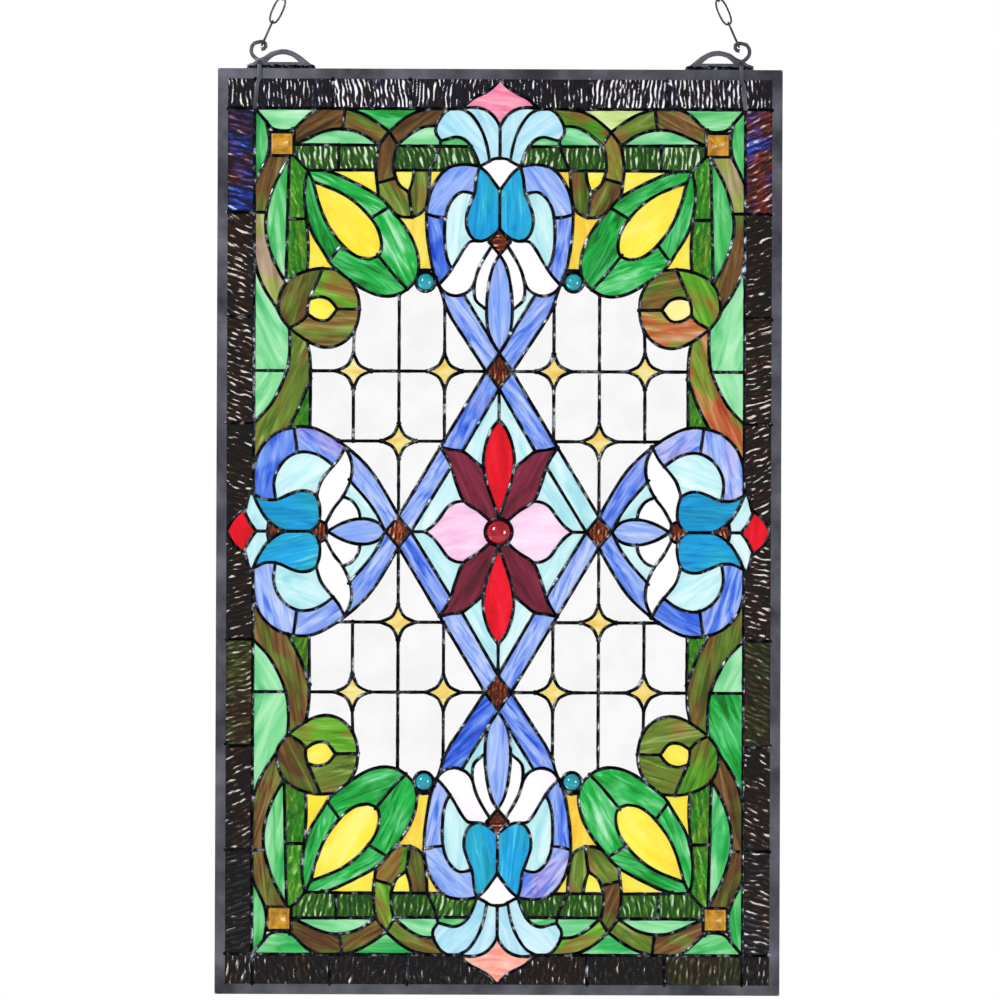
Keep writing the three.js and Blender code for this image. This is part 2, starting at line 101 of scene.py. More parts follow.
def makeMetal(name, look):
    settings = {"Metallic": 1.0, "Roughness": look["roughness"]}
    material, tree, shader = startMaterial(name, settings)
    place = addNode(tree, "ShaderNodeTexCoord").outputs["Object"]
    size = look["streak"]
    scale = (1000 / size[0], 1000 / size[1], 1000 / size[0])
    stretched = addNode(tree, "ShaderNodeMapping", {"Scale": scale}, {"Vector": place})
    cloud = addNode(tree, "ShaderNodeTexNoise", {"Scale": 1.0, "Detail": 5.0, "Roughness": 0.62},
                    {"Vector": stretched.outputs[0]})
    ramp = addRamp(tree, look["stops"], cloud.outputs["Fac"])
    tree.links.new(ramp.outputs[0], shader.inputs["Base Color"])
    # a fine grain stands for the brushed or poured skin
    grain = addNode(tree, "ShaderNodeTexNoise", {"Scale": 1000 / metalSkin["grain"], "Detail": 3.0},
                    {"Vector": place})
    bump = addNode(tree, "ShaderNodeBump",
                   {"Strength": metalSkin["strength"], "Distance": metalSkin["depth"]},
                   {"Height": grain.outputs["Fac"]})
    tree.links.new(bump.outputs[0], shader.inputs["Normal"])
    spread = addNode(tree, "ShaderNodeMapRange", {"To Min": look["roughness"] - metalSkin["smoother"],
                     "To Max": look["roughness"] + metalSkin["rougher"]}, {"Value": cloud.outputs["Fac"]})
    tree.links.new(spread.outputs[0], shader.inputs["Roughness"])
    return material


# zinc came, dipped in black patina and wiped: a dull blue-grey metal with cloudy darker patches
zincMaterial = makeMetal("patinated zinc channel", metalLook["zinc"])
# tin-lead solder under black patina: near black, with silver glints painted into the colour in small
# random patches as highlights
glintedSolderMaterial = makeMetal("black patinated solder with painted glints", metalLook["solder"])
# plated steel wire, bent and left antique: dark with small sharp glints
steelMaterial = makeMetal("antique steel wire", metalLook["steel"])

# ---- glass
# stops: colours along the streaks, dark to light; second: those of another glass poured into it
# streak: length and width of the streaks in mm; patch: length in mm of the second glass's patches
# clarity: share of light that passes straight through; relief: depth and pitch in mm of the waves
# lift: how far the colour follows the waves, ridges painted lighter as highlights and hollows painted
# darker as shade; step: spacing in mm of the mesh that carries them
sheetLook = {  # what the sheets of a family share
    # rolled with deep ripples: nearly black or deep green, with pale slivers along the ridges painted in
    # as highlights
    "rolled ripple glass": {"roughness": 0.07, "clarity": 0.2, "step": 1.4},
    # poured with white and rolled: soft streaks along each piece, hardly see-through, a satin shine
    "rolled opal glass": {"clarity": 0.4, "roughness": 0.16, "relief": (0.12, 12), "step": 4},
    # pressed with small dimples: warm brown, with painted highlights on the ridges and painted shade in
    # the dimples
    "hammered glass": {},
    # one clean colour, rolled thin: see-through and a little wavy
    "cathedral glass": {},
    # drawn flat and colourless: what lies behind shows through
    "drawn window glass": {},
}
glassKinds = {  # what each kind has of its own
    "rolled ripple glass": {
        # the palest stop of each ripple kind is a painted highlight
        "rippleBlack": {"slot": "ripple_black_glass", "streak": (12, 2.2), "relief": (0.55, 3.9),
            "lift": 0.8, "step": 1.3, "patch": 24,
            "stops": ((0.46, "#060408"), (0.57, "#1A1016"), (0.65, "#4A3C48"), (0.72, "#F6F3F7")),
            "second": ((0.46, "#06060C"), (0.57, "#12122C"), (0.65, "#383A5C"), (0.72, "#F4F4FA"))},
        "rippleRed": {"slot": "ripple_black_glass", "streak": (14, 3), "clarity": 0.3,
            "relief": (0.6, 5.5), "lift": 0.5, "step": 1.5, "patch": 34,
            "stops": ((0.38, "#10060A"), (0.53, "#481410"), (0.67, "#84301C"), (0.82, "#F0E4E4")),
            "second": ((0.4, "#060818"), (0.54, "#142070"), (0.68, "#2848BC"), (0.82, "#E0E6FA"))},
        "rippleNavy": {"slot": "ripple_black_glass", "streak": (14, 3), "clarity": 0.3,
            "relief": (0.6, 5.5), "lift": 0.5, "step": 1.5, "patch": 40,
            "stops": ((0.36, "#060A24"), (0.5, "#14267C"), (0.64, "#2E50C4"), (0.8, "#D4DCF8")),
            "second": ((0.38, "#12060A"), (0.52, "#3A1414"), (0.66, "#7A3420"), (0.82, "#F0E6E0"))},
        "rippleNight": {"slot": "ripple_black_glass", "streak": (12, 2.6), "clarity": 0.25,
            "relief": (0.6, 4.8), "lift": 0.7, "step": 1.3, "patch": 24,
            "stops": ((0.44, "#070302"), (0.58, "#1E0C06"), (0.7, "#42200E"), (0.8, "#E4D8D0")),
            "second": ((0.46, "#050303"), (0.6, "#140C08"), (0.7, "#30221A"), (0.8, "#E4DED8"))},
        "rippleDark": {"slot": "ripple_black_glass", "streak": (12, 2.4), "relief": (0.6, 4.8),
            "lift": 0.7, "patch": 30,
            "stops": ((0.5, "#060406"), (0.64, "#130D14"), (0.76, "#342A34"), (0.86, "#D0CCD2")),
            "second": ((0.5, "#080403"), (0.64, "#22100A"), (0.76, "#46301C"), (0.86, "#D4CAC0"))},
        "rippleOlive": {"slot": "ripple_black_glass", "streak": (12, 2.4), "clarity": 0.3,
            "relief": (0.6, 4.8), "lift": 0.6, "patch": 30,
            "stops": ((0.46, "#161606"), (0.6, "#343812"), (0.74, "#5C6030"), (0.86, "#E0E0C8")),
            "second": ((0.46, "#120806"), (0.6, "#2A140A"), (0.74, "#4C3018"), (0.86, "#DCD2C4"))},
        "rippleGreen": {"slot": "green_glass", "streak": (12, 2.2), "clarity": 0.4,
            "relief": (0.45, 4.8), "lift": 0.75,
            "stops": ((0.42, "#143608"), (0.56, "#285C10"), (0.65, "#4E8628"), (0.73, "#E6F2DA"))},
        "rippleFern": {"slot": "green_glass", "streak": (12, 2.4), "clarity": 0.4, "relief": (0.45, 4.8),
            "lift": 0.7,
            "stops": ((0.42, "#12360A"), (0.58, "#265A0C"), (0.72, "#4A8A1E"), (0.84, "#DCF0CC"))},
        "rippleMoss": {"slot": "green_glass", "streak": (8, 3), "clarity": 0.5, "relief": (0.35, 6.0),
            "lift": 0.4, "step": 1.7, "patch": 24,
            "stops": ((0.3, "#14500A"), (0.5, "#227A0E"), (0.66, "#3E9A1C"), (0.84, "#B4E488")),
            "second": ((0.3, "#2C5A08"), (0.5, "#4A820E"), (0.66, "#6AA01E"), (0.84, "#C4E488"))},
    },
    "rolled opal glass": {
        "lightGreen": {"slot": "green_glass", "streak": (60, 8), "clarity": 0.45, "roughness": 0.18,
            "relief": (0.12, 14), "patch": 40,
            "stops": ((0.3, "#2AA848"), (0.46, "#4EC468"), (0.6, "#86DC96"), (0.76, "#C2F0CC")),
            "second": ((0.3, "#0E8A30"), (0.5, "#1CAA48"), (0.66, "#42C468"), (0.8, "#9CE4AC"))},
        "mint": {"slot": "green_glass", "streak": (70, 10), "roughness": 0.2, "relief": (0.12, 15),
            "patch": 45,
            "stops": ((0.28, "#5CC878"), (0.45, "#8CE0A0"), (0.6, "#AEEEBA"), (0.78, "#DDF9DF")),
            "second": ((0.28, "#34B060"), (0.46, "#5ECB80"), (0.62, "#90E0A4"), (0.78, "#C8F2CE"))},
        "emerald": {"slot": "green_glass", "streak": (34, 5), "clarity": 0.5, "relief": (0.14, 12),
            "patch": 34,
            "stops": ((0.3, "#04661A"), (0.44, "#0A9A30"), (0.58, "#1CBC48"), (0.76, "#9CECB0")),
            "second": ((0.3, "#128A34"), (0.45, "#34B858"), (0.6, "#64D484"), (0.78, "#D0F6DA"))},
        "yellow": {"slot": "yellow_glass", "streak": (50, 14), "clarity": 0.45, "roughness": 0.18,
            "relief": (0.1, 16), "patch": 60,
            "stops": ((0.3, "#FAE82E"), (0.5, "#FDF250"), (0.7, "#FEF884")),
            "second": ((0.3, "#FADA30"), (0.5, "#FCE846"), (0.7, "#FDF270"))},
        "honey": {"slot": "yellow_glass", "streak": (40, 10), "clarity": 0.45, "roughness": 0.18,
            "relief": (0.1, 16), "patch": 50,
            "stops": ((0.3, "#F8BC2E"), (0.5, "#FAD23E"), (0.7, "#FDE85E")),
            "second": ((0.3, "#F8D434"), (0.5, "#FBE44A"), (0.7, "#FDF07A"))},
        "vineBrown": {"slot": "vine_glass", "streak": (50, 5), "patch": 30,
            "stops": ((0.28, "#2C1A08"), (0.44, "#523214"), (0.58, "#6E4A20"), (0.76, "#9A7A4A")),
            "second": ((0.28, "#343E0C"), (0.46, "#506018"), (0.62, "#6E802A"), (0.78, "#A4A460"))},
        "vineOlive": {"slot": "vine_glass", "streak": (50, 6), "patch": 30,
            "stops": ((0.28, "#34460E"), (0.44, "#4C6618"), (0.6, "#6C882A"), (0.78, "#A8B868")),
            "second": ((0.28, "#4E3210"), (0.46, "#6E4E1E"), (0.62, "#8A7230"), (0.78, "#B0A060"))},
        "vineGreen": {"slot": "vine_glass", "streak": (50, 6), "clarity": 0.45, "patch": 30,
            "stops": ((0.28, "#2E620A"), (0.44, "#448C14"), (0.6, "#62AC20"), (0.78, "#A0D858")),
            "second": ((0.28, "#6A3A18"), (0.46, "#8A5A24"), (0.62, "#86802C"), (0.78, "#9CA84A"))},
        "vineRed": {"slot": "vine_glass", "streak": (50, 6), "clarity": 0.45, "patch": 26,
            "stops": ((0.28, "#8A2E14"), (0.44, "#B24A20"), (0.6, "#C87440"), (0.78, "#DCB490")),
            "second": ((0.28, "#46640E"), (0.46, "#64881E"), (0.62, "#86A236"), (0.78, "#B8C070"))},
        "paleOlive": {"slot": "vine_glass", "streak": (44, 6), "roughness": 0.18, "relief": (0.1, 14),
            "patch": 30,
            "stops": ((0.28, "#76862C"), (0.44, "#96A048"), (0.6, "#B2B46A"), (0.78, "#D0D0A0")),
            "second": ((0.28, "#8A6C48"), (0.46, "#A88E74"), (0.62, "#BCA898"), (0.78, "#D0C8B0"))},
        "paleLime": {"slot": "green_glass", "streak": (40, 9), "roughness": 0.18, "relief": (0.1, 14),
            "stops": ((0.28, "#A8CC60"), (0.5, "#D2E692"), (0.74, "#F4F6D0"))},
        "whiteOpal": {"slot": "pale_glass", "streak": (60, 12), "clarity": 0.3, "roughness": 0.2,
            "relief": (0.12, 14),
            "stops": ((0.22, "#F6EEF8"), (0.42, "#FEFBFE"), (0.7, "#FFFFFF"))},
        "paleAqua": {"slot": "pale_glass", "streak": (46, 9), "clarity": 0.35, "roughness": 0.2,
            "relief": (0.12, 14),
            "stops": ((0.26, "#96D8E4"), (0.46, "#BCECF2"), (0.72, "#E8FBFD"))},
        "aqua": {"slot": "pale_glass", "streak": (50, 9), "clarity": 0.35, "roughness": 0.2,
            "relief": (0.12, 14),
            "stops": ((0.26, "#82CCEA"), (0.46, "#AEE2F4"), (0.72, "#DDF6FC"))},
        "cream": {"slot": "pale_glass", "streak": (50, 14), "roughness": 0.2, "relief": (0.1, 14),
            "stops": ((0.28, "#FCEE7A"), (0.5, "#FEF6A4"), (0.74, "#FFFCE0"))},
        "skyBlue": {"slot": "blue_glass", "streak": (40, 5), "clarity": 0.45, "patch": 30,
            "stops": ((0.26, "#4C78E8"), (0.44, "#7AA0F4"), (0.6, "#9CBCFA"), (0.78, "#CCDAFE")),
            "second": ((0.26, "#5A7CE0"), (0.44, "#86A4F0"), (0.6, "#A6BEF8"), (0.78, "#DCE6FE"))},
        "ribbonBlue": {"slot": "blue_glass", "streak": (34, 5), "clarity": 0.45, "patch": 26,
            "stops": ((0.27, "#1C46D0"), (0.39, "#4A78EA"), (0.51, "#86A6F4"), (0.67, "#C0D0FC")),
            "second": ((0.28, "#5C70DA"), (0.44, "#82A0F0"), (0.58, "#A4BEF8"), (0.74, "#DCE6FE"))},
        "deepBlue": {"slot": "blue_glass", "streak": (40, 6), "clarity": 0.5, "patch": 30,
            "stops": ((0.3, "#0C2CB0"), (0.44, "#1E4CD8"), (0.58, "#4678EA"), (0.76, "#94B4F8")),
            "second": ((0.26, "#2A50D4"), (0.44, "#5684EC"), (0.6, "#82A8F6"), (0.78, "#BCD0FC"))},
        "lavender": {"slot": "blue_glass", "streak": (34, 7), "roughness": 0.18, "relief": (0.12, 13),
            "patch": 24,
            "stops": ((0.28, "#4A3CA8"), (0.42, "#8078D4"), (0.54, "#AAAEF0"), (0.7, "#D0D8FC")),
            "second": ((0.3, "#2C50D0"), (0.45, "#5C82E8"), (0.58, "#8CACF6"), (0.74, "#C0D2FC"))},
        "turquoise": {"slot": "turquoise_glass", "streak": (44, 5), "clarity": 0.5, "roughness": 0.14,
            "patch": 36,
            "stops": ((0.28, "#0470AC"), (0.46, "#0A96D6"), (0.62, "#16ACEC"), (0.8, "#70D2F6")),
            "second": ((0.28, "#0A86A8"), (0.46, "#14A4C8"), (0.62, "#28B8DC"), (0.8, "#7ADCEE"))},
        "amber": {"slot": "amber_glass", "streak": (30, 10), "roughness": 0.18, "relief": (0.1, 14),
            "step": 3,
            "stops": ((0.28, "#EEBC50"), (0.46, "#F4DA78"), (0.7, "#FAF0B0"))},
        "pink": {"slot": "pink_glass", "streak": (40, 9), "roughness": 0.2, "relief": (0.12, 14),
            "stops": ((0.28, "#F6BCE4"), (0.46, "#FBD4F0"), (0.7, "#FEEAFA"))},
        "rose": {"slot": "pink_glass", "streak": (30, 7), "roughness": 0.18, "relief": (0.12, 14),
            "stops": ((0.28, "#F0648E"), (0.46, "#F98CAE"), (0.7, "#FFC4D4"))},
        "peach": {"slot": "pink_glass", "streak": (30, 7), "roughness": 0.18, "relief": (0.12, 14),
            "stops": ((0.28, "#F4826E"), (0.46, "#FCA494"), (0.7, "#FFD0C2"))},
    },
    "hammered glass": {
        # its palest stop is a painted highlight
        "brown": {"slot": "amber_glass", "streak": (6, 2.4), "clarity": 0.4, "roughness": 0.08,
            "relief": (0.4, 3.6), "lift": 0.6, "step": 1.2,
            "stops": ((0.36, "#300C04"), (0.52, "#6A2008"), (0.66, "#A0400F"), (0.8, "#F4C8A4"))},
    },
    "cathedral glass": {
        "maroon": {"slot": "maroon_glass", "streak": (36, 8), "clarity": 0.5, "roughness": 0.3,
            "relief": (0.06, 12), "step": 3.5,
            "stops": ((0.3, "#38020F"), (0.5, "#6C0A26"), (0.72, "#86203C"), (0.9, "#A03A56"))},
        "red": {"slot": "red_glass", "streak": (40, 12), "clarity": 0.5, "roughness": 0.1,
            "relief": (0.15, 12), "step": 4,
            "stops": ((0.3, "#CC0010"), (0.5, "#EC0018"), (0.72, "#F81C34"))},
    },
    "drawn window glass": {
        "clear": {"slot": "clear_glass", "relief": (0.1, 22), "step": 6},
    },
}
glassLook = {kind: {"family": family, **sheetLook[family], **own}
             for family, kinds in glassKinds.items() for kind, own in kinds.items()}
# dimples in mm and their depth in metres; pour: noise cells to a metre, along the grain and across,
# in a patch of 1 mm
glassSkin = {"dimples": 2.2, "depth": 0.0003, "strength": 0.22, "pour": (700, 1400)}


def makeGlass(name, look):
    settings = {"IOR": 1.52, "Transmission Weight": look["clarity"], "Roughness": look["roughness"],
                "Specular IOR Level": 0.35}
    material, tree, shader = startMaterial(name, settings)
    sheet = addNode(tree, "ShaderNodeUVMap", {"uv_map": "sheet"}).outputs["UV"]
    scale = (1000 / look["streak"][0], 1000 / look["streak"][1], 1.0)
    stretched = addNode(tree, "ShaderNodeMapping", {"Scale": scale}, {"Vector": sheet})
    streaks = addNode(tree, "ShaderNodeTexNoise",
                      {"Scale": 1.0, "Detail": 5.0, "Roughness": 0.55, "Distortion": 0.9},
                      {"Vector": stretched.outputs[0]})
    tone = addNode(tree, "ShaderNodeAttribute", {"attribute_name": "tone"})
    amount = addNode(tree, "ShaderNodeMath", {"operation": "ADD"},
                     {0: streaks.outputs["Fac"], 1: tone.outputs["Fac"]})
    # painted light: the colour follows the waves, lighter on the ridges and darker in the hollows
    if "lift" in look:
        lift = addNode(tree, "ShaderNodeAttribute", {"attribute_name": "lift"})
        share = addNode(tree, "ShaderNodeMath", {"operation": "MULTIPLY_ADD", 1: look["lift"] * 0.5},
                        {0: lift.outputs["Fac"], 2: amount.outputs[0]})
        amount = share
    power = 1.0 - 0.2 * look["clarity"]
    colours = addRamp(tree, look["stops"], amount.outputs[0], power).outputs[0]
    if "second" in look:
        # two colours poured together: the second in patches of its own
        along, across = glassSkin["pour"]
        wide = addNode(tree, "ShaderNodeMapping",
                       {"Scale": (along / look["patch"], across / look["patch"], 1.0)}, {"Vector": sheet})
        pour = addNode(tree, "ShaderNodeTexNoise", {"Scale": 1.0, "Detail": 2.0, "Distortion": 0.5},
                       {"Vector": wide.outputs[0]})
        share = addNode(tree, "ShaderNodeMapRange", {"From Min": 0.47, "From Max": 0.62},
                        {"Value": pour.outputs["Fac"]})
        other = addRamp(tree, look["second"], amount.outputs[0], power)
        colours = addNode(tree, "ShaderNodeMix", {"data_type": "RGBA"},
                          {0: share.outputs[0], 6: colours, 7: other.outputs[0]}).outputs[2]
    tree.links.new(colours, shader.inputs["Base Color"])
    # rolled skin: faint dimples close together
    skin = addNode(tree, "ShaderNodeTexNoise", {"Scale": 1000 / glassSkin["dimples"], "Detail": 2.0},
                   {"Vector": sheet})
    bump = addNode(tree, "ShaderNodeBump",
                   {"Strength": glassSkin["strength"], "Distance": glassSkin["depth"]},
                   {"Height": skin.outputs["Fac"]})
    tree.links.new(bump.outputs[0], shader.inputs["Normal"])
    return material


# cloud: size in mm of the faint clouding; waveDepth in metres: slow waves that bend what lies behind
clearLook = {"stops": ((0.36, "#F9F9F9"), (0.6, "#FFFFFF")), "cloud": 32, "roughness": 0.02,
             "waveDepth": 0.0006, "waveStrength": 0.2}


def makeClear(name, look):
    settings = {"Transmission Weight": 1.0, "Roughness": look["roughness"], "IOR": 1.52}
    material, tree, shader = startMaterial(name, settings)
    sheet = addNode(tree, "ShaderNodeUVMap", {"uv_map": "sheet"}).outputs["UV"]
    cloud = addNode(tree, "ShaderNodeTexNoise", {"Scale": 1000 / look["cloud"], "Detail": 3.0},
                    {"Vector": sheet})
    ramp = addRamp(tree, look["stops"], cloud.outputs["Fac"])
    tree.links.new(ramp.outputs[0], shader.inputs["Base Color"])
    bump = addNode(tree, "ShaderNodeBump",
                   {"Strength": look["waveStrength"], "Distance": look["waveDepth"]},
                   {"Height": cloud.outputs["Fac"]})
    tree.links.new(bump.outputs[0], shader.inputs["Normal"])
    return material


def kindWords(kind):
    # "vineBrown" as "vine brown", "rippleBlack" as "black"
    words = "".join(f" {letter.lower()}" if letter.isupper() else letter for letter in kind)
    return words.removeprefix("ripple ")


glassMaterials = {}
for kind, look in glassLook.items():
    if kind == "clear":
        glassMaterials[kind] = makeClear(look["family"], clearLook)
    else:
        glassMaterials[kind] = makeGlass(f"{look['family']}, {kindWords(kind)}", look)

gemLook = {
    # melted to a drop: deep solid colour under a wet shine
    "melted glass nugget, turquoise": {"stops": ((0.36, "#0B7F92"), (0.62, "#0E9AAE")), "clarity": 0.45,
                                       "roughness": 0.05, "coat": 0.35},
    "melted glass nugget, red": {"stops": ((0.36, "#7E000C"), (0.62, "#B40012")), "clarity": 0.45,
                                 "roughness": 0.05, "coat": 0.35},
    # pressed in a mould: honey amber with a soft, slightly dulled face
    "pressed glass jewel, amber": {"stops": ((0.36, "#9A6006"), (0.62, "#DC9A14")), "clarity": 0.5,
                                   "roughness": 0.26, "coat": 0.0},
}
gemClouding = {"size": 8, "power": 0.8}  # mm, and how far the colour is lightened


def makeGem(name, look):
    settings = {"IOR": 1.52, "Transmission Weight": look["clarity"], "Roughness": look["roughness"],
                "Coat Weight": look["coat"], "Coat Roughness": 0.1}
    material, tree, shader = startMaterial(name, settings)
    place = addNode(tree, "ShaderNodeTexCoord").outputs["Object"]
    cloud = addNode(tree, "ShaderNodeTexNoise", {"Scale": 1000 / gemClouding["size"], "Detail": 3.0},
                    {"Vector": place})
    ramp = addRamp(tree, look["stops"], cloud.outputs["Fac"], gemClouding["power"])
    tree.links.new(ramp.outputs[0], shader.inputs["Base Color"])
    return material


gemMaterials = {name: makeGem(name, look) for name, look in gemLook.items()}
print("materials made")

# ---- seams: the middle line of every lead, one quarter of the panel
straightSeams = {  # run straight from point to point
    "fieldSide": ((215.5, 371.5), (215.5, 37)),
    "fieldTop": ((215.5, 371.5), (34, 371.5)),
    "cornerSeamTop": ((215.5, 371.5), (215, 400)),
    "cornerSeamSide": ((215.5, 371.5), (241.5, 371.5)),
    "borderTop1": ((147, 371.5), (147, 400)),
    "borderTop2": ((79, 371.5), (78.5, 400)),
    "borderSide0": ((215.5, 280), (241.5, 280)),
    "borderSide1": ((215.5, 188.5), (241.5, 188.5)),
    "borderSide2": ((215.5, 95), (241.5, 95)),
    "stemTop": ((0, 356), (0, 328)),
    "stemMid": ((0, 300), (0, 265)),
    "jewelTopRight": ((0, 266), (9.5, 254.5)),
    "jewelTopLow": ((9.5, 254.5), (0, 243.5)),
    "ribbonInnerTop": ((31.5, 208.5), (0, 157)),
    "ribbonOuterTop2": ((42, 187.5), (11.5, 141)),
    "crossTopHi": ((0, 157), (11.5, 141)),
    "crossTopLo": ((11.5, 141), (0, 126)),
    "crossSideTopL": ((77, 0), (88, 13.5)),
    "crossSideTopR": ((88, 13.5), (99.5, 0)),
    "diamondOuter": ((11.5, 141), (88, 13.5)),
    "diamondInnerA": ((0, 126), (31.5, 71.5)),
    "diamondInnerB": ((42, 57), (77, 0)),
    "stemLow": ((0, 126), (0, 98)),
    "pinkStem": ((65, 0), (77, 0)),
    "sideStem": ((166, 0), (187, 0)),
    "jewelSideL": ((150.5, 0), (152, 7), (157, 9.5)),
    "jewelSideR": ((201.7, 9.3), (203.5, 0)),
    "sidePaleStem": ((203.5, 0), (213, 0)),
    "sideRibbonSeam": ((180, 91.3), (177, 69.3)),
    "sidePaleJoin": ((222.5, 19), (224, 19)),
    "rowHi0": ((11.5, 141), (32.5, 141)),
    "rowHi1": ((63.5, 141), (112.5, 141)),
    "rowHi2": ((143.5, 141), (166, 141)),
    "rowLo0": ((48.5, 79.5), (72.5, 79.5)),
    "rowLo1": ((103.5, 79.5), (141.5, 79.5)),
    "col48a": ((48, 200.5), (48, 156.5)),
    "col48b": ((48, 125.5), (48, 80)),
    "col88a": ((88, 207.5), (88, 95)),
    "col88b": ((88, 64), (88, 13.5)),
    "col128a": ((127.5, 176.5), (128, 156.5)),
    "col128b": ((128, 125.5), (128, 79.5)),
    "leafTip": ((164, 307), (169, 317)),
    "leafSeamA": ((97, 285.2), (112, 276)),
    "leafSeamC": ((139, 252), (149.3, 238)),
    "bandTop": ((25, 338.5), (91, 338.8)),
    "bandTop2": ((106, 339.3), (181, 339.6)),
    "bandLow": ((47.5, 317.6), (93, 317.3)),
    "bandLow2": ((108.5, 317.5), (151, 317.3), (154, 315.5)),
    "bandSeamB": ((141.5, 339.4), (141.8, 317.4)),
    "bandDiagonal": ((181, 330), (169, 317)),
    "postSeam": ((169.8, 274.3), (186.3, 274.3)),
    "cornerJewel": ((181, 330), (181, 350.5), (202.3, 350.5), (202.3, 330), (181, 330)),
    "archSeam": ((136, 371.5), (138.3, 353.3)),
    "archEnd": ((97.5, 351.5), (106, 340)),
    "vineEnd": ((97.5, 351.5), (90.5, 340.5)),
    "vineCrossSeam": ((91.5, 310.5), (107.8, 306)),
    "loopSeam": ((80, 298.2), (77, 276.2)),
    "yellowLow": ((59, 230), (71.3, 229.6)),
    "vineSideSeam": ((205, 280), (215.5, 280)),
    "scrollSeamL": ((123, 195), (142.5, 195.3)),
    "greenSeam": ((185.8, 141), (215.5, 141)),
    "kiteTopTip": ((0, 397), (0, 400)),
    "kiteSideTip": ((238.5, 0), (241.5, 0)),
    "ringTackRibbon": ((57.5, 222.5), (55.5, 223.3)),
    "ringTackYellow": ((65, 227.8), (65, 229.9)),
    "jewelTackTop": ((181, 350), (182.3, 354)),
    "paleTip": ((215.5, 38), (215.5, 32)),
}
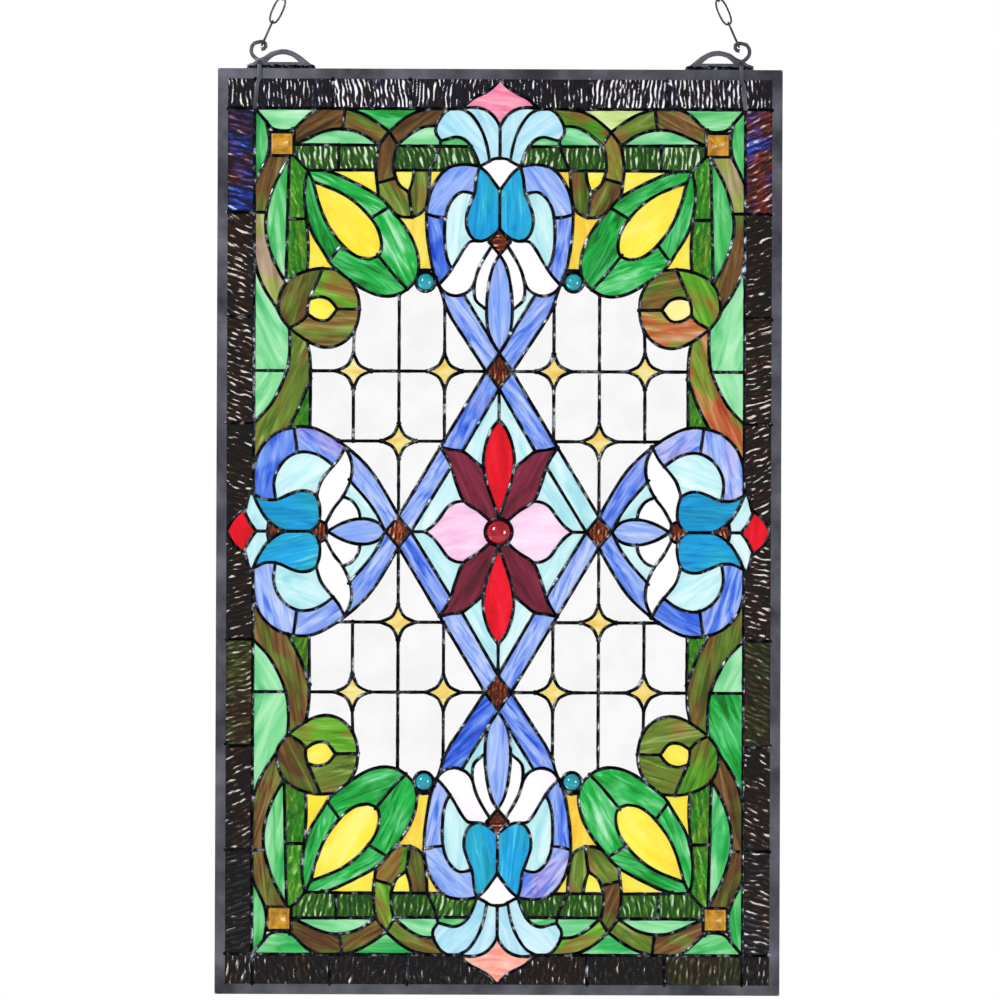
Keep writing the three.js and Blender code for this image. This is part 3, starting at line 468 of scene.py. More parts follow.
curvedSeams = {  # run as one smooth curve through their points
    "topKiteOuter": ((0, 397.5), (7, 390), (15, 385), (24, 380.5), (34, 371.5)),
    "sideKiteOuter": ((239, 0), (232.5, 11.5), (224, 19)),
    "sideKiteInner": ((213, 0), (219, 8.5), (224, 19)),
    "petalATop": ((0, 356), (4, 363), (10, 369), (18, 372.3), (26, 372.8), (34, 371.5)),
    "petalAB": ((34, 371.5), (26, 367), (20, 359.5), (15, 350), (11.5, 339), (9, 325.5)),
    "petalBOuter": ((44, 371.5), (50, 367), (55.5, 358), (56.5, 350.5), (52, 343.5)),
    "petalBInner": ((52, 343.5), (46, 345), (39, 346.8), (32, 345), (26, 339.5), (21, 330), (18, 321)),
    "buttonTop": ((0, 328.2), (6, 327.5), (12, 324), (18, 321)),
    "buttonSide": ((18, 321), (11, 315), (5, 307), (0, 300)),
    "tealOuter": (
        (18, 321), (20.5, 311), (22, 299), (26, 288), (29.3, 277), (28.5, 266), (24, 258), (17.5, 255.2),
        (10, 257.5), (4, 262), (0, 266),
    ),
    "paleCInner": (
        (22.8, 296.5), (28, 298.3), (34, 298.3), (40, 294), (45.5, 285), (48, 274), (48.5, 262),
        (47.7, 248), (45.5, 238), (42, 231),
    ),
    "ribbonOuter": (
        (18, 321), (28, 322.6), (38, 322), (47, 318.7), (54.5, 310.5), (60.5, 299), (64, 285),
        (64.3, 271), (63.3, 257), (61, 242), (58.5, 229.5), (53.5, 217),
    ),
    "ribbonSeam": ((48.2, 276), (56, 276.7), (64.2, 279)),
    "whiteOuter": ((20, 255.5), (26, 254.8), (31.5, 248.5), (37, 239), (42, 231), (47, 224), (53.5, 217)),
    "whiteTip": (
        (53.5, 217), (50, 212), (44, 208.3), (37.5, 207.3), (31, 209), (25.5, 213), (22, 219),
        (19.5, 228), (15, 238), (6.6, 251.8),
    ),
    "whiteInner": ((22, 218), (22.3, 211), (20.5, 203), (12, 195.5)),
    "longPetal": (
        (0, 243.5), (5, 235), (8.5, 223), (10.6, 209), (11.3, 195), (10.3, 180), (6.5, 167), (0, 157),
    ),
    "ribbonOuterTop": ((53.5, 217), (50.5, 209), (47.5, 199), (42, 187.5)),
    "redPetal": ((0, 98.5), (6.5, 90), (11.5, 77), (13.6, 62), (11, 45), (5.5, 28), (0, 12.4)),
    "maroonTop": ((51.5, 74.3), (41, 72), (31.5, 70.5), (22, 63), (14, 56.5)),
    "maroonLow": ((51.5, 74.3), (44.5, 63), (40.5, 53), (37, 41.5), (30.5, 27), (18, 18.5), (8, 10)),
    "pinkTop": ((30.5, 27), (38, 26), (45, 21.8), (51, 13.5), (58, 5), (65, 0)),
    "sideLongPetal": ((99.5, 0), (105, 7), (114, 10.7), (125, 10.9), (138, 7), (150.5, 0)),
    "sideRibbonInner": ((99.5, 0), (107, 15), (117, 29), (131.8, 45.6)),
    "sideRibbonOuter": (
        (88, 13.5), (98, 31.5), (110, 50.5), (121, 63), (135, 75), (150, 85), (165, 91.3), (180, 91.3),
        (195, 86.5), (207, 76), (213.5, 63), (215.5, 50),
    ),
    "sideWhiteLeft": ((135, 74), (130.3, 64), (129, 54), (131, 43), (137, 30.5), (145, 20), (152, 7)),
    "sideWhiteRight": ((135, 74), (141, 63), (149, 53.5), (156, 44), (160, 31.5)),
    "sideWhiteInner": ((136.5, 30.5), (128.5, 26.5), (123, 18.5), (121.5, 11)),
    "sideTealTop": (
        (160, 31.5), (167, 35), (175, 35.5), (184, 32.5), (194, 28.2), (205, 27.8), (215.5, 32.5),
    ),
    "sideTealLeft": ((160, 31.5), (157.3, 22), (157, 12), (160, 4.5), (166, 0)),
    "sideTealLow": ((215.5, 32.5), (211.5, 23), (204, 11), (195, 3.5), (187, 0)),
    "sidePaleInner": (
        (145.5, 58), (155, 65), (165, 69), (176, 69.3), (187, 63.5), (194.5, 53.5), (197.5, 42),
        (196, 28.2),
    ),
    "sidePaleOuter": ((215.5, 38), (219.5, 31), (222.5, 19)),
    "clearSide": ((168.5, 166), (166, 150), (165.8, 120), (166, 91.4)),
    "leafUpper": (
        (169, 317), (155, 316.8), (143, 313.5), (130, 307.5), (117, 300.8), (104, 292.5), (92.5, 279.5),
        (83, 267.5), (75.5, 254), (71.5, 240), (71.5, 227), (75.5, 218.5), (81, 213),
    ),
    "leafLower": (
        (81, 213), (88, 208.7), (98, 206.6), (109, 208.2), (120, 213), (131, 220.5), (141, 228),
        (147.5, 234), (156, 247.5), (164, 260.5), (169, 274), (171.5, 290), (171.3, 304), (169, 317),
    ),
    "heartUpper": (
        (164, 307), (151, 302.3), (138, 296.5), (126, 288.3), (115, 277.3), (107, 265.5), (103.8, 252.5),
        (106, 242.8), (114, 239.3),
    ),
    "heartLower": (
        (114, 239.3), (124, 241), (134, 247.5), (144, 258.8), (153, 273), (159.5, 290), (164, 307),
    ),
    "leafSeamB": ((81, 213), (92, 224.5), (107.5, 243.5)),
    "bandSeamA": ((52, 343.5), (53.5, 336), (57, 327), (61, 318.5)),
    "postInner": ((170.8, 283), (168.3, 255), (168.2, 240), (169, 229)),
    "postOuter": ((185, 330), (185.8, 300), (186.7, 260), (187.6, 218.5)),
    "cornerArch": (
        (158, 371.5), (167, 366.5), (175, 359), (182, 353), (191, 351.6), (200, 353.8), (207, 361.5),
        (215.5, 371.5),
    ),
    "cornerBow": ((205, 359.8), (202.5, 342), (204.5, 329), (210, 317), (215.5, 305)),
    "archTop": ((140, 371.5), (134, 371), (121, 366.8), (109, 359.8), (97.5, 351.5)),
    "archLow": (
        (181, 339.6), (170, 344.5), (158, 350), (146, 353.2), (133, 352.8), (120, 348.5), (106, 339.3),
    ),
    "vineTop": ((58, 371.5), (66, 370.3), (73, 368.8), (84, 363), (97.5, 351.5)),
    "vineLow": ((56.8, 356.5), (66, 355.8), (75, 351.8), (83, 346), (91, 338.8)),
    "vineCrossL": ((91, 338.8), (93, 329), (93.3, 319), (91.5, 310.5)),
    "vineCrossR": ((106, 339.3), (108.3, 328), (109, 316), (107.8, 305.5), (106.8, 296)),
    "loopInnerR": ((91.5, 310.5), (88, 304), (80, 298.2)),
    "loopInnerL": ((75.5, 317), (76.8, 308), (80, 298.2)),
    "loopOuterR": ((92, 279), (85, 276.3), (77, 276.2)),
    "loopOuterL": ((61.5, 317), (62.3, 303), (64.5, 287), (69, 280), (77, 276.2)),
    "vineSideInner": (
        (185, 330), (190, 320), (196.5, 307.5), (202, 292), (205.3, 277), (205.3, 262), (200.5, 243),
        (193, 227), (187.6, 218.5),
    ),
    "vineSideOuter": ((215.3, 240), (212.5, 227), (206, 212), (194, 193.5)),
    "scrollOutA": (
        (143.5, 230), (158, 230.8), (170, 228.5), (180, 224.2), (188, 217.5), (193, 207), (194, 193.5),
        (190.5, 186), (184.5, 178.5),
    ),
    "scrollOutB": (
        (184.5, 178.5), (175, 171.3), (164, 164.6), (152, 161.5), (140, 164.2), (130, 172.5),
        (124.5, 184), (123, 197), (125, 209.5), (131, 220.5),
    ),
    "scrollTopSeam": ((155.5, 230.8), (160, 220), (167, 204)),
    "scrollEyeTop": ((142.5, 195.3), (149, 203.2), (158, 206), (167, 204)),
    "scrollEyeRight": ((167, 204), (168.7, 197), (168.5, 190.5)),
    "scrollEyeLow": ((168.5, 190.5), (160, 185.6), (150.5, 185.8), (142.5, 195.3)),
    "scrollTail": ((168.5, 190.5), (174, 184.5), (184.5, 178.5)),
    "vineLowerOuter": ((184.5, 178.5), (184, 163), (185.5, 145), (191.5, 128), (201.5, 110), (215.5, 95)),
    "vineLowerInner": ((165.9, 134), (168.3, 127.5), (174, 112), (184.5, 91)),
}
starLook = {"centres": ((48, 141), (128, 141), (88, 79.5)), "reach": 15.5, "waist": 5.2}
roundSeams = {"nuggetRing": ((65, 219.5), 8.7), "centreRing": ((0, 0), 12.0)}
edgeLine = (241.5, 400.0)  # where the glass ends inside the channel
# mm: spacing on a curve, how far a seam runs past its ends to meet others, points taken as one, a closed
# line's gap; smallest in square mm
seamLook = {"curveStep": 1.6, "overrun": 1.6, "weld": 0.02, "closed": 0.01, "smallest": 3, "ringSteps": 36}
pointBatch = 2000  # points measured at a time, which spares memory


def smoothLine(points, pieces=8):
    # a uniform Catmull-Rom curve, its ends mirrored
    known = [Vector(p) for p in points]
    known = [2 * known[0] - known[1]] + known + [2 * known[-1] - known[-2]]
    line = []
    for i in range(1, len(known) - 2):
        a, b, c, d = known[i - 1:i + 3]
        count = max(2, min(pieces, round((c - b).length / seamLook["curveStep"])))
        for j in range(count):
            t = j / count
            line.append(0.5 * ((2 * b) + (c - a) * t + (2 * a - 5 * b + 4 * c - d) * t * t
                               + (3 * b - a - 3 * c + d) * t ** 3))
    line.append(known[-2])
    return line


def quarterLines():
    lines = []
    for points in straightSeams.values():
        for i in range(len(points) - 1):
            lines.append([Vector(points[i]), Vector(points[i + 1])])
    for points in curvedSeams.values():
        lines.append(smoothLine(points))
    reach, waist = starLook["reach"], starLook["waist"]
    for x, z in starLook["centres"]:
        for sx, sz in ((1, 1), (1, -1), (-1, -1), (-1, 1)):
            lines.append(smoothLine(((x + sx * reach, z), (x + sx * waist, z + sz * waist),
                                     (x, z + sz * reach))))
    for (x, z), radius in roundSeams.values():
        steps = seamLook["ringSteps"] if x else seamLook["ringSteps"] // 4
        turn = 2 * math.pi if x else math.pi / 2
        lines.append([Vector((x + radius * math.cos(turn * i / steps),
                              z + radius * math.sin(turn * i / steps))) for i in range(steps + 1)])
    return lines


def allLines():
    # the quarter mirrored to the whole panel, lines on an axis kept once
    seen = set()
    lines = []
    for line in quarterLines():
        for sx, sz in ((1, 1), (-1, 1), (-1, -1), (1, -1)):
            moved = [Vector((p.x * sx, p.y * sz)) for p in line]
            key = tuple(sorted((round(p.x, 2) + 0.0, round(p.y, 2) + 0.0) for p in moved))
            if key not in seen:
                seen.add(key)
                lines.append(moved)
    return lines


def lengthened(line, extra):
    if (line[0] - line[-1]).length < seamLook["closed"]:
        return line
    start = line[0] + (line[0] - line[1]).normalized() * extra
    end = line[-1] + (line[-1] - line[-2]).normalized() * extra
    return [start] + line[1:-1] + [end] if len(line) > 2 else [start, end]


def planTiles(lines):
    # every seam cut where it crosses another; the closed loops between them are the tiles
    x, z = edgeLine
    border = [Vector(p) for p in ((x, z), (-x, z), (-x, -z), (x, -z), (x, z))]
    points, edges = [], []
    for line in [border] + [lengthened(line, seamLook["overrun"]) for line in lines]:
        first = len(points)
        points += line
        edges += [(first + i, first + i + 1) for i in range(len(line) - 1)]
    spots, cut = delaunay_2d_cdt(points, edges, [], 3, seamLook["weld"])[:2]
    near = {}
    for a, b in cut:
        if a != b:
            near.setdefault(a, set()).add(b)
            near.setdefault(b, set()).add(a)
    loose = [v for v in near if len(near[v]) == 1]
    while loose:
        v = loose.pop()
        for other in near.pop(v, ()):
            near[other].discard(v)
            if len(near[other]) == 1:
                loose.append(other)
    order = {}
    for v, others in near.items():
        turn = sorted(others, key=lambda o: math.atan2(*reversed(spots[o] - spots[v])))
        order[v] = {o: turn[i - 1] for i, o in enumerate(turn)}
    done = set()
    loops = []
    for start in near:
        for second in near[start]:
            if (start, second) in done:
                continue
            loop = []
            a, b = start, second
            while (a, b) not in done:
                done.add((a, b))
                loop.append(spots[a])
                a, b = b, order[b][a]
            area = sum(p.cross(q) for p, q in zip(loop, loop[1:] + loop[:1])) / 2
            if area > seamLook["smallest"]:
                loops.append((area, numpy.array([tuple(p) for p in loop])))
    joints = [spots[v] for v in near if len(near[v]) > 2]
    return loops, joints


def holds(loop, points):
    # which points lie inside the loop
    a, b = loop, numpy.roll(loop, -1, 0)
    rise = numpy.where(b[:, 1] == a[:, 1], 1e-9, b[:, 1] - a[:, 1])
    inside = numpy.zeros(len(points), bool)
    for first in range(0, len(points), pointBatch):
        p = points[first:first + pointBatch, None, :]
        cross = (a[:, 1] > p[..., 1]) != (b[:, 1] > p[..., 1])
        at = a[:, 0] + (p[..., 1] - a[:, 1]) / rise * (b[:, 0] - a[:, 0])
        inside[first:first + pointBatch] = (cross & (p[..., 0] < at)).sum(1) % 2 == 1
    return inside


def gapTo(loop, points):
    # distance from each point to the loop
    a, d = loop, numpy.roll(loop, -1, 0) - loop
    square = numpy.maximum((d ** 2).sum(1), 1e-12)
    gaps = numpy.full(len(points), 1e9)
    for first in range(0, len(points), pointBatch):
        p = points[first:first + pointBatch, None, :]
        t = numpy.clip(((p - a) * d).sum(2) / square, 0, 1)
        gaps[first:first + pointBatch] = numpy.sqrt((((p - a) - t[..., None] * d) ** 2).sum(2)).min(1)
    return gaps


# mm: underLead is how far a rim lies inside its seam's line, rimStep the spacing of its points, sheetReach
# how far apart pieces are cut from a sheet; square mm: a gem's seat is under gemArea, what is under
# sliver is no tile; grainTurn in degrees; backShare: the back's relief as a share of the front's
tileLook = {"halfThickness": 1.5, "underLead": 0.85, "rimStep": 3.0, "keep": 0.93, "sharpest": 0.15,
            "gemArea": 600, "sliver": 12, "grainTurn": 8, "sheetReach": 400, "toneSpread": 0.07,
            "backShare": 0.4}
# ripples: how far they bend and in what size, how far they fade and in what size, along and across in mm
rippleLook = {"bend": 3.4, "bendSize": (11, 8), "fade": (0.5, 1.3), "fadeSize": (7, 4.5)}


def drawnIn(loop, inset):
    # the loop moved inwards, points that fold over dropped
    parts = []
    for a, b in zip(loop, numpy.roll(loop, -1, 0)):
        count = max(1, math.ceil(math.dist(a, b) / tileLook["rimStep"]))
        parts += [a + (b - a) * i / count for i in range(count)]
    loop = numpy.array(parts)
    d = numpy.roll(loop, -1, 0) - loop
    length = numpy.hypot(d[:, 0], d[:, 1])
    loop, d, length = loop[length > 1e-4], d[length > 1e-4], length[length > 1e-4]
    out = numpy.stack((-d[:, 1], d[:, 0]), 1) / length[:, None]
    back = numpy.roll(out, 1, 0)
    both = out + back
    size = numpy.maximum(1 + (out * back).sum(1), tileLook["sharpest"])
    moved = loop + both / size[:, None] * inset
    good = holds(loop, moved) & (gapTo(loop, moved) > inset * tileLook["keep"])
    return moved[good]


# kind of glass, piece it belongs to, and a point of each tile in the upper right quarter;
# a fourth value is the direction of its grain in degrees
tilePlan = {
    "border": {
        "rippleBlack": ((60, 385, 90), (113, 385, 90), (180, 385, 90), (227, 385, 90)),
        "rippleRed": ((227, 325, 20),),
        "rippleNight": ((227, 235, 20), (227, 140, 20), (228, 60, 20)),
    },
    "foliage": {
        "lightGreen": ((190, 362), (210, 340), (195, 270)),
        "mint": ((140, 346), (72, 345), (208, 125), (205, 180)),
        "vineBrown": ((160, 360), (207, 240), (84, 288)),
        "vineOlive": ((120, 357), (145, 215), (69, 298)),
        "vineGreen": ((75, 360), (100, 325), (180, 205), (51, 369.5)),
        "vineRed": ((145, 172), (175, 150)),
        "paleOlive": ((202, 310),),
        "paleLime": ((98, 364),),
        "cream": ((156, 195),),
        "yellow": ((84, 308), (115, 310), (165, 240)),
        "honey": ((58, 312), (70, 258), (59, 226), (70, 227)),
        "rippleGreen": ((38, 330, 80), (75, 328, 80), (125, 328, 85), (160, 328, 85)),
        "rippleMoss": ((178, 295, 80), (178, 245, 80), (168, 105, 80)),
    },
    "leaf": {"emerald": ((120, 296), (90, 255), (115, 222), (160, 262))},
    "leaf_heart": {"yellow": ((130, 270),)},
    "clear_field": {"amber": ((48, 141), (128, 141), (88, 79.5))},
    "maroon_petal": {"maroon": ((30, 55),)},
}
axisPlan = {
    "top bottom": {
        "kite": {"rose": ((0, 380),)},
        "fleur": {
            "aqua": ((8, 345), (40, 358)),
            "lightGreen": ((38, 342),),
            "whiteOpal": ((0, 315), (30, 228), (14, 215)),
            "turquoise": ((15, 285),),
            "paleAqua": ((38, 275), (18, 190)),
            "skyBlue": ((45, 308), (0, 200)),
            "ribbonBlue": ((55, 250), (35, 185)),
            "brown": ((0, 254), (0, 141)),
        },
        "centre_ground": {"ribbonBlue": ((30, 98),), "paleAqua": ((5, 105),)},
        "red_petal": {"red": ((0, 60),)},
    },
    "left right": {
        "kite": {"red": ((226, 0),)},
        "fleur": {
            "brown": ((88, 0), (157, 0), (198, 0)),
            "ribbonBlue": ((110, 40), (205, 60)),
            "lavender": ((160, 78),),
            "paleAqua": ((175, 50), (117, 20), (216, 20)),
            "whiteOpal": ((140, 45), (137, 18)),
            "skyBlue": ((125, 0),),
            "turquoise": ((185, 20),),
        },
        "centre_ground": {"ribbonBlue": ((62, 40),), "paleAqua": ((55, 20),)},
        "pink_petal": {"pink": ((45, 0),)},
    },
}
# tiles cut from another sheet than their mirror twins: a point of each, and its glass
tileChanges = (
    (-227, 325, "rippleNavy"), (-98, 364, "emerald"), (-75, 360, "vineBrown"),
    (-100, 325, "vineBrown"), (-84, 288, "vineOlive"), (-207, 240, "paleOlive"),
    (-202, 310, "vineBrown"), (-180, 205, "vineBrown"), (-55, 250, "deepBlue"), (62, 40, "paleAqua"),
    (-205, 60, "deepBlue"), (-145, 215, "vineGreen"), (-69, 298, "vineOlive"), (-190, 362, "mint"),
    (-175, 150, "vineOlive"), (-175, -150, "vineBrown"), (175, -150, "vineOlive"),
    (-145, 172, "vineOlive"), (-145, -172, "vineGreen"), (145, -172, "vineOlive"),
    (-156, 195, "yellow"), (-156, -195, "yellow"), (156, -195, "yellow"), (-98, -364, "lightGreen"),
    (98, -364, "lightGreen"), (-227, -325, "rippleDark"), (227, -325, "rippleDark"),
    (180, -385, "rippleOlive"), (60, -385, "rippleNight"), (-180, -205, "vineBrown"),
    (-202, -310, "vineBrown"), (202, -310, "vineBrown"), (-84, -288, "vineGreen"),
    (-69, -298, "vineBrown"), (84, -288, "vineOlive"), (100, -325, "vineBrown"),
    (-75, -360, "vineOlive"), (-35, -185, "deepBlue"), (45, -308, "lavender"), (205, 60, "lavender"),
    (-160, -78, "ribbonBlue"), (227, -140, "rippleOlive"), (-227, -140, "rippleOlive"),
    (205, -180, "emerald"), (160, -78, "deepBlue"),
)
lowerGlass = {"rippleBlack": "rippleDark", "rippleGreen": "rippleFern"}  # darker kinds, with fewer painted highlights, in the lower half
gemSpots = ((65, 219.5), (0, 0), (191.5, 340))


def seedPoints():
    # every planned tile of the whole panel: point, kind, piece, grain
    seeds = []
    for sx in (1, -1):
        for sz in (1, -1):
            corner = f"{'top' if sz > 0 else 'bottom'}_{'right' if sx > 0 else 'left'}"
            for piece, kinds in tilePlan.items():
                for kind, spots in kinds.items():
                    if sz < 0:
                        kind = lowerGlass.get(kind, kind)
                    for x, z, *grain in spots:
                        turned = None
                        if grain:
                            turned = grain[0] if sx * sz > 0 else 180 - grain[0]
                        seeds.append((x * sx, z * sz, kind, f"{piece}_{corner}", turned))
            for sides, pieces in axisPlan.items():
                names = sides.split()
                if sides == "top bottom":
                    side = names[0] if sz > 0 else names[1]
                else:
                    side = names[1] if sx > 0 else names[0]
                for piece, kinds in pieces.items():
                    for kind, spots in kinds.items():
                        if piece == "kite" and side == "bottom":
                            kind = "peach"
                        for x, z in spots:
                            seeds.append((x * sx, z * sz, kind, f"{piece}_{side}", None))
    return seeds


def cornerOf(x, z):
    return f"{'top' if z > 0 else 'bottom'}_{'right' if x > 0 else 'left'}"


lines = allLines()
loops, joints = planTiles(lines)
loops.sort(key=lambda item: (round(item[1][:, 1].mean(), 1), round(item[1][:, 0].mean(), 1)))
seeds = seedPoints()
seedSpots = numpy.array([(s[0], s[1]) for s in seeds])
gemPoints = numpy.array([(x * sx, z * sz) for x, z in gemSpots for sx in (1, -1) for sz in (1, -1)])
tiles = []  # outline, kind, piece, grain
for area, loop in loops:
    if holds(loop, gemPoints).any() and area < tileLook["gemArea"]:
        continue
    found = numpy.nonzero(holds(loop, seedSpots))[0]
    middle = loop.mean(0)
    if len(found):
        _, _, kind, piece, grain = seeds[found[0]]
    else:
        kind, piece, grain = "clear", f"clear_field_{cornerOf(*middle)}", None
        if area < tileLook["sliver"]:
            continue
    tiles.append((loop, kind, piece, grain))
for x, z, kind in tileChanges:
    for i, tile in enumerate(tiles):
        if holds(tile[0], numpy.array([(x, z)]))[0]:
            tiles[i] = (tile[0], kind, tile[2], tile[3])


def waves(kind, u, v, seed):
    # height of the sheet's surface in its own grain, -1 to 1
    depth, pitch = glassLook[kind]["relief"]
    if glassLook[kind].get("lift"):
        long, across = rippleLook["bendSize"]
        bend = rippleLook["bend"] * noise(Vector((u / long, v / across, seed)))
        wave = math.sin(2 * math.pi * v / pitch + bend)
        long, across = rippleLook["fadeSize"]
        least, more = rippleLook["fade"]
        fade = least + more * noise(Vector((u / long, v / across, seed + 7)))
        return max(-1.0, min(1.0, wave * fade)), depth
    return noise(Vector((u / (pitch * 1.6), v / pitch, seed))), depth


def triangles(loop, step):
    low, high = loop.min(0), loop.max(0)
    rows = numpy.arange(low[1] + step / 2, high[1], step * 0.87)
    grid = [(x + (i % 2) * step / 2, z) for i, z in enumerate(rows)
            for x in numpy.arange(low[0], high[0], step)]
    inner = numpy.array(grid) if grid else numpy.zeros((0, 2))
    if len(inner):
        inner = inner[holds(loop, inner)]
    if len(inner):
        inner = inner[gapTo(loop, inner) > step * 0.5]
    count = len(loop)
    edges = [(i, (i + 1) % count) for i in range(count)]
    points = [Vector(p) for p in loop] + [Vector(p) for p in inner]
    spots, _, faces = delaunay_2d_cdt(points, edges, [], 1, 0.001)[:3]
    return spots, faces


def grainOf(loop):
    spread = numpy.cov((loop - loop.mean(0)).T)
    values, axes = numpy.linalg.eigh(spread)
    long = axes[:, 1]
    return math.degrees(math.atan2(long[1], long[0]))


class PaneMesh:
    def __init__(self):
        self.points, self.faces, self.slots, self.sheet = [], [], [], []
        self.tone, self.lift, self.kinds = [], [], []

    def addTile(self, loop, kind, grain, rng):
        look = glassLook[kind]
        outline = drawnIn(loop, tileLook["underLead"])
        if len(outline) < 3:
            return
        spots, faces = triangles(outline, look["step"])
        if not faces:
            return
        if kind not in self.kinds:
            self.kinds.append(kind)
        slotIndex = self.kinds.index(kind)
        turn, reach, spread = tileLook["grainTurn"], tileLook["sheetReach"], tileLook["toneSpread"]
        angle = math.radians((grainOf(loop) if grain is None else grain) + rng.uniform(-turn, turn))
        offset = (rng.uniform(0, reach), rng.uniform(0, reach))
        tone = rng.uniform(-spread, spread)
        seed = rng.uniform(0, 50)
        middle = loop.mean(0)
        cos, sin = math.cos(angle), math.sin(angle)
        half = tileLook["halfThickness"]
        first, count = len(self.points), len(spots)
        for side, share in ((-1, 1), (1, tileLook["backShare"])):
            for p in spots:
                dx, dz = p.x - middle[0], p.y - middle[1]
                u, v = dx * cos + dz * sin, -dx * sin + dz * cos
                wave, depth = waves(kind, u, v, seed + 20 * (side > 0))
                y = side * (half + depth * (0.5 * wave + 0.1) * share)
                self.points.append((p.x * mm, y * mm, panelMiddle + p.y * mm))
                self.sheet.append(((u + offset[0]) * mm, (v + offset[1]) * mm))
                self.tone.append(tone)
                # the wave height is kept to paint highlights on the ridges and shade in the hollows
                self.lift.append(wave)
        rim = {}
        for face in faces:
            a, b, c = face[:3]
            if (spots[b] - spots[a]).cross(spots[c] - spots[a]) < 0:
                b, c = c, b
            # seen from the front, x right and z up, the front face turns the other way to y
            self.faces.append((first + a, first + b, first + c))
            self.faces.append((first + count + a, first + count + c, first + count + b))
            self.slots += [slotIndex, slotIndex]
            for i, j in ((a, b), (b, c), (c, a)):
                rim[(i, j)] = (j, i) not in rim or rim.pop((j, i)) is None
        for (i, j), alone in list(rim.items()):
            if alone and (j, i) not in rim:
                self.faces.append((first + j, first + i, first + count + i, first + count + j))
                self.slots.append(slotIndex)

    def build(self, name):
        mesh = bpy.data.meshes.new(name)
        mesh.from_pydata(self.points, [], self.faces)
        for kind in self.kinds:
            mesh.materials.append(glassMaterials[kind])
        mesh.polygons.foreach_set("material_index", self.slots)
        layer = mesh.uv_layers.new(name="sheet")
        corners = numpy.zeros(len(mesh.loops), int)
        mesh.loops.foreach_get("vertex_index", corners)
        layer.uv.foreach_set("vector", numpy.array(self.sheet)[corners].ravel())
        for title, values in (("tone", self.tone), ("lift", self.lift)):
            attribute = mesh.attributes.new(title, "FLOAT", "POINT")
            attribute.data.foreach_set("value", values)
        mesh.update()
        mesh.shade_smooth()
        mesh.set_sharp_from_angle(angle=math.radians(42))
        return addPiece(name, mesh)


def addPiece(name, mesh, replaced=()):
    piece = bpy.data.objects.new(name, mesh)
    bpy.context.collection.objects.link(piece)
    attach(piece, "root")
    if replaced:
        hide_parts(*replaced)
    return piece


rng = random.Random(7)
paneMeshes = {}
for loop, kind, piece, grain in tiles:
    paneMeshes.setdefault(piece, PaneMesh()).addTile(loop, kind, grain, rng)
nodeNames = set(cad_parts)
for node, pane in paneMeshes.items():
    words = node.split("_")
    piece = pane.build("panes" + "".join(word.capitalize() for word in words))
    if node not in nodeNames:
        print("no such node", node)
        continue
    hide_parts(node)
print("glass made,", sum(len(p.faces) for p in paneMeshes.values()), "faces")

# ---- leading: a rounded bead of solder along each seam, and a drop at each joint
# mm; tips: how far a bead runs past its end, with the share of its width there; lump: size of its
# unevenness; dropEdge, dropGap: drops stand inside the channel and no closer together than this
leadLook = {"halfWidth": 1.5, "halfDepth": 2.5, "step": 3.3, "unevenness": 0.1, "lump": 9,
            "tips": ((1.5, 0.45), (0.9, 0.8)), "dropRadius": 2.35, "dropSpread": 0.35,
            "dropEdge": (240, 398.5), "dropGap": 2.4}
beadProfile = [  # share of the half width, and mm forwards; the front is rounder than the back
    (-1.0, 1.45), (-0.86, 1.98), (-0.5, 2.37), (0.0, 2.5), (0.5, 2.37), (0.86, 1.98), (1.0, 1.45),
    (1.0, -1.6), (0.55, -2.4), (-0.55, -2.4), (-1.0, -1.6),
]


def evenly(line, step):
    spots = [line[0]]
    for a, b in zip(line, line[1:]):
        count = max(1, round((b - a).length / step))
        spots += [a + (b - a) * (i + 1) / count for i in range(count)]
    kept = [spots[0]]
    for p in spots[1:-1]:
        if (p - kept[-1]).length > step * 0.6:
            kept.append(p)
    return kept + [spots[-1]]


def addBead(points, faces, line):
    line = evenly(line, leadLook["step"])
    ring = (line[0] - line[-1]).length < seamLook["closed"]
    if ring:
        line = line[:-1]
    ends = [1.0] * len(line)
    if not ring:
        start = (line[0] - line[1]).normalized()
        end = (line[-1] - line[-2]).normalized()
        tips = leadLook["tips"]
        line = ([line[0] + start * reach for reach, _ in tips] + line
                + [line[-1] + end * reach for reach, _ in reversed(tips)])
        ends = [share for _, share in tips] + ends + [share for _, share in reversed(tips)]
    first = len(points)
    lump, deepest = leadLook["lump"], leadLook["halfDepth"]
    for i, p in enumerate(line):
        before = line[i - 1] if ring or i else p
        after = line[(i + 1) % len(line)] if ring or i < len(line) - 1 else p
        along = (after - before).normalized()
        side = Vector((-along.y, along.x))
        wobble = leadLook["unevenness"] * noise(Vector((p.x / lump, p.y / lump, 3.0)))
        width = leadLook["halfWidth"] * (1 + 2 * wobble) * ends[i]
        for x, y in beadProfile:
            spot = p + side * x * width
            rise = -(y if abs(y) < 1.5 else y * (1 + wobble)) * (0.6 + 0.4 * ends[i])
            points.append((spot.x * mm, max(-deepest, min(deepest, rise)) * mm, panelMiddle + spot.y * mm))
    count = len(beadProfile)
    rows = len(line)
    for i in range(rows if ring else rows - 1):
        a, b = first + i * count, first + (i + 1) % rows * count
        for j in range(count):
            k = (j + 1) % count
            faces.append((a + j, a + k, b + k, b + j))
    if not ring:
        faces.append(tuple(first + count - 1 - j for j in range(count)))
        faces.append(tuple(first + (rows - 1) * count + j for j in range(count)))


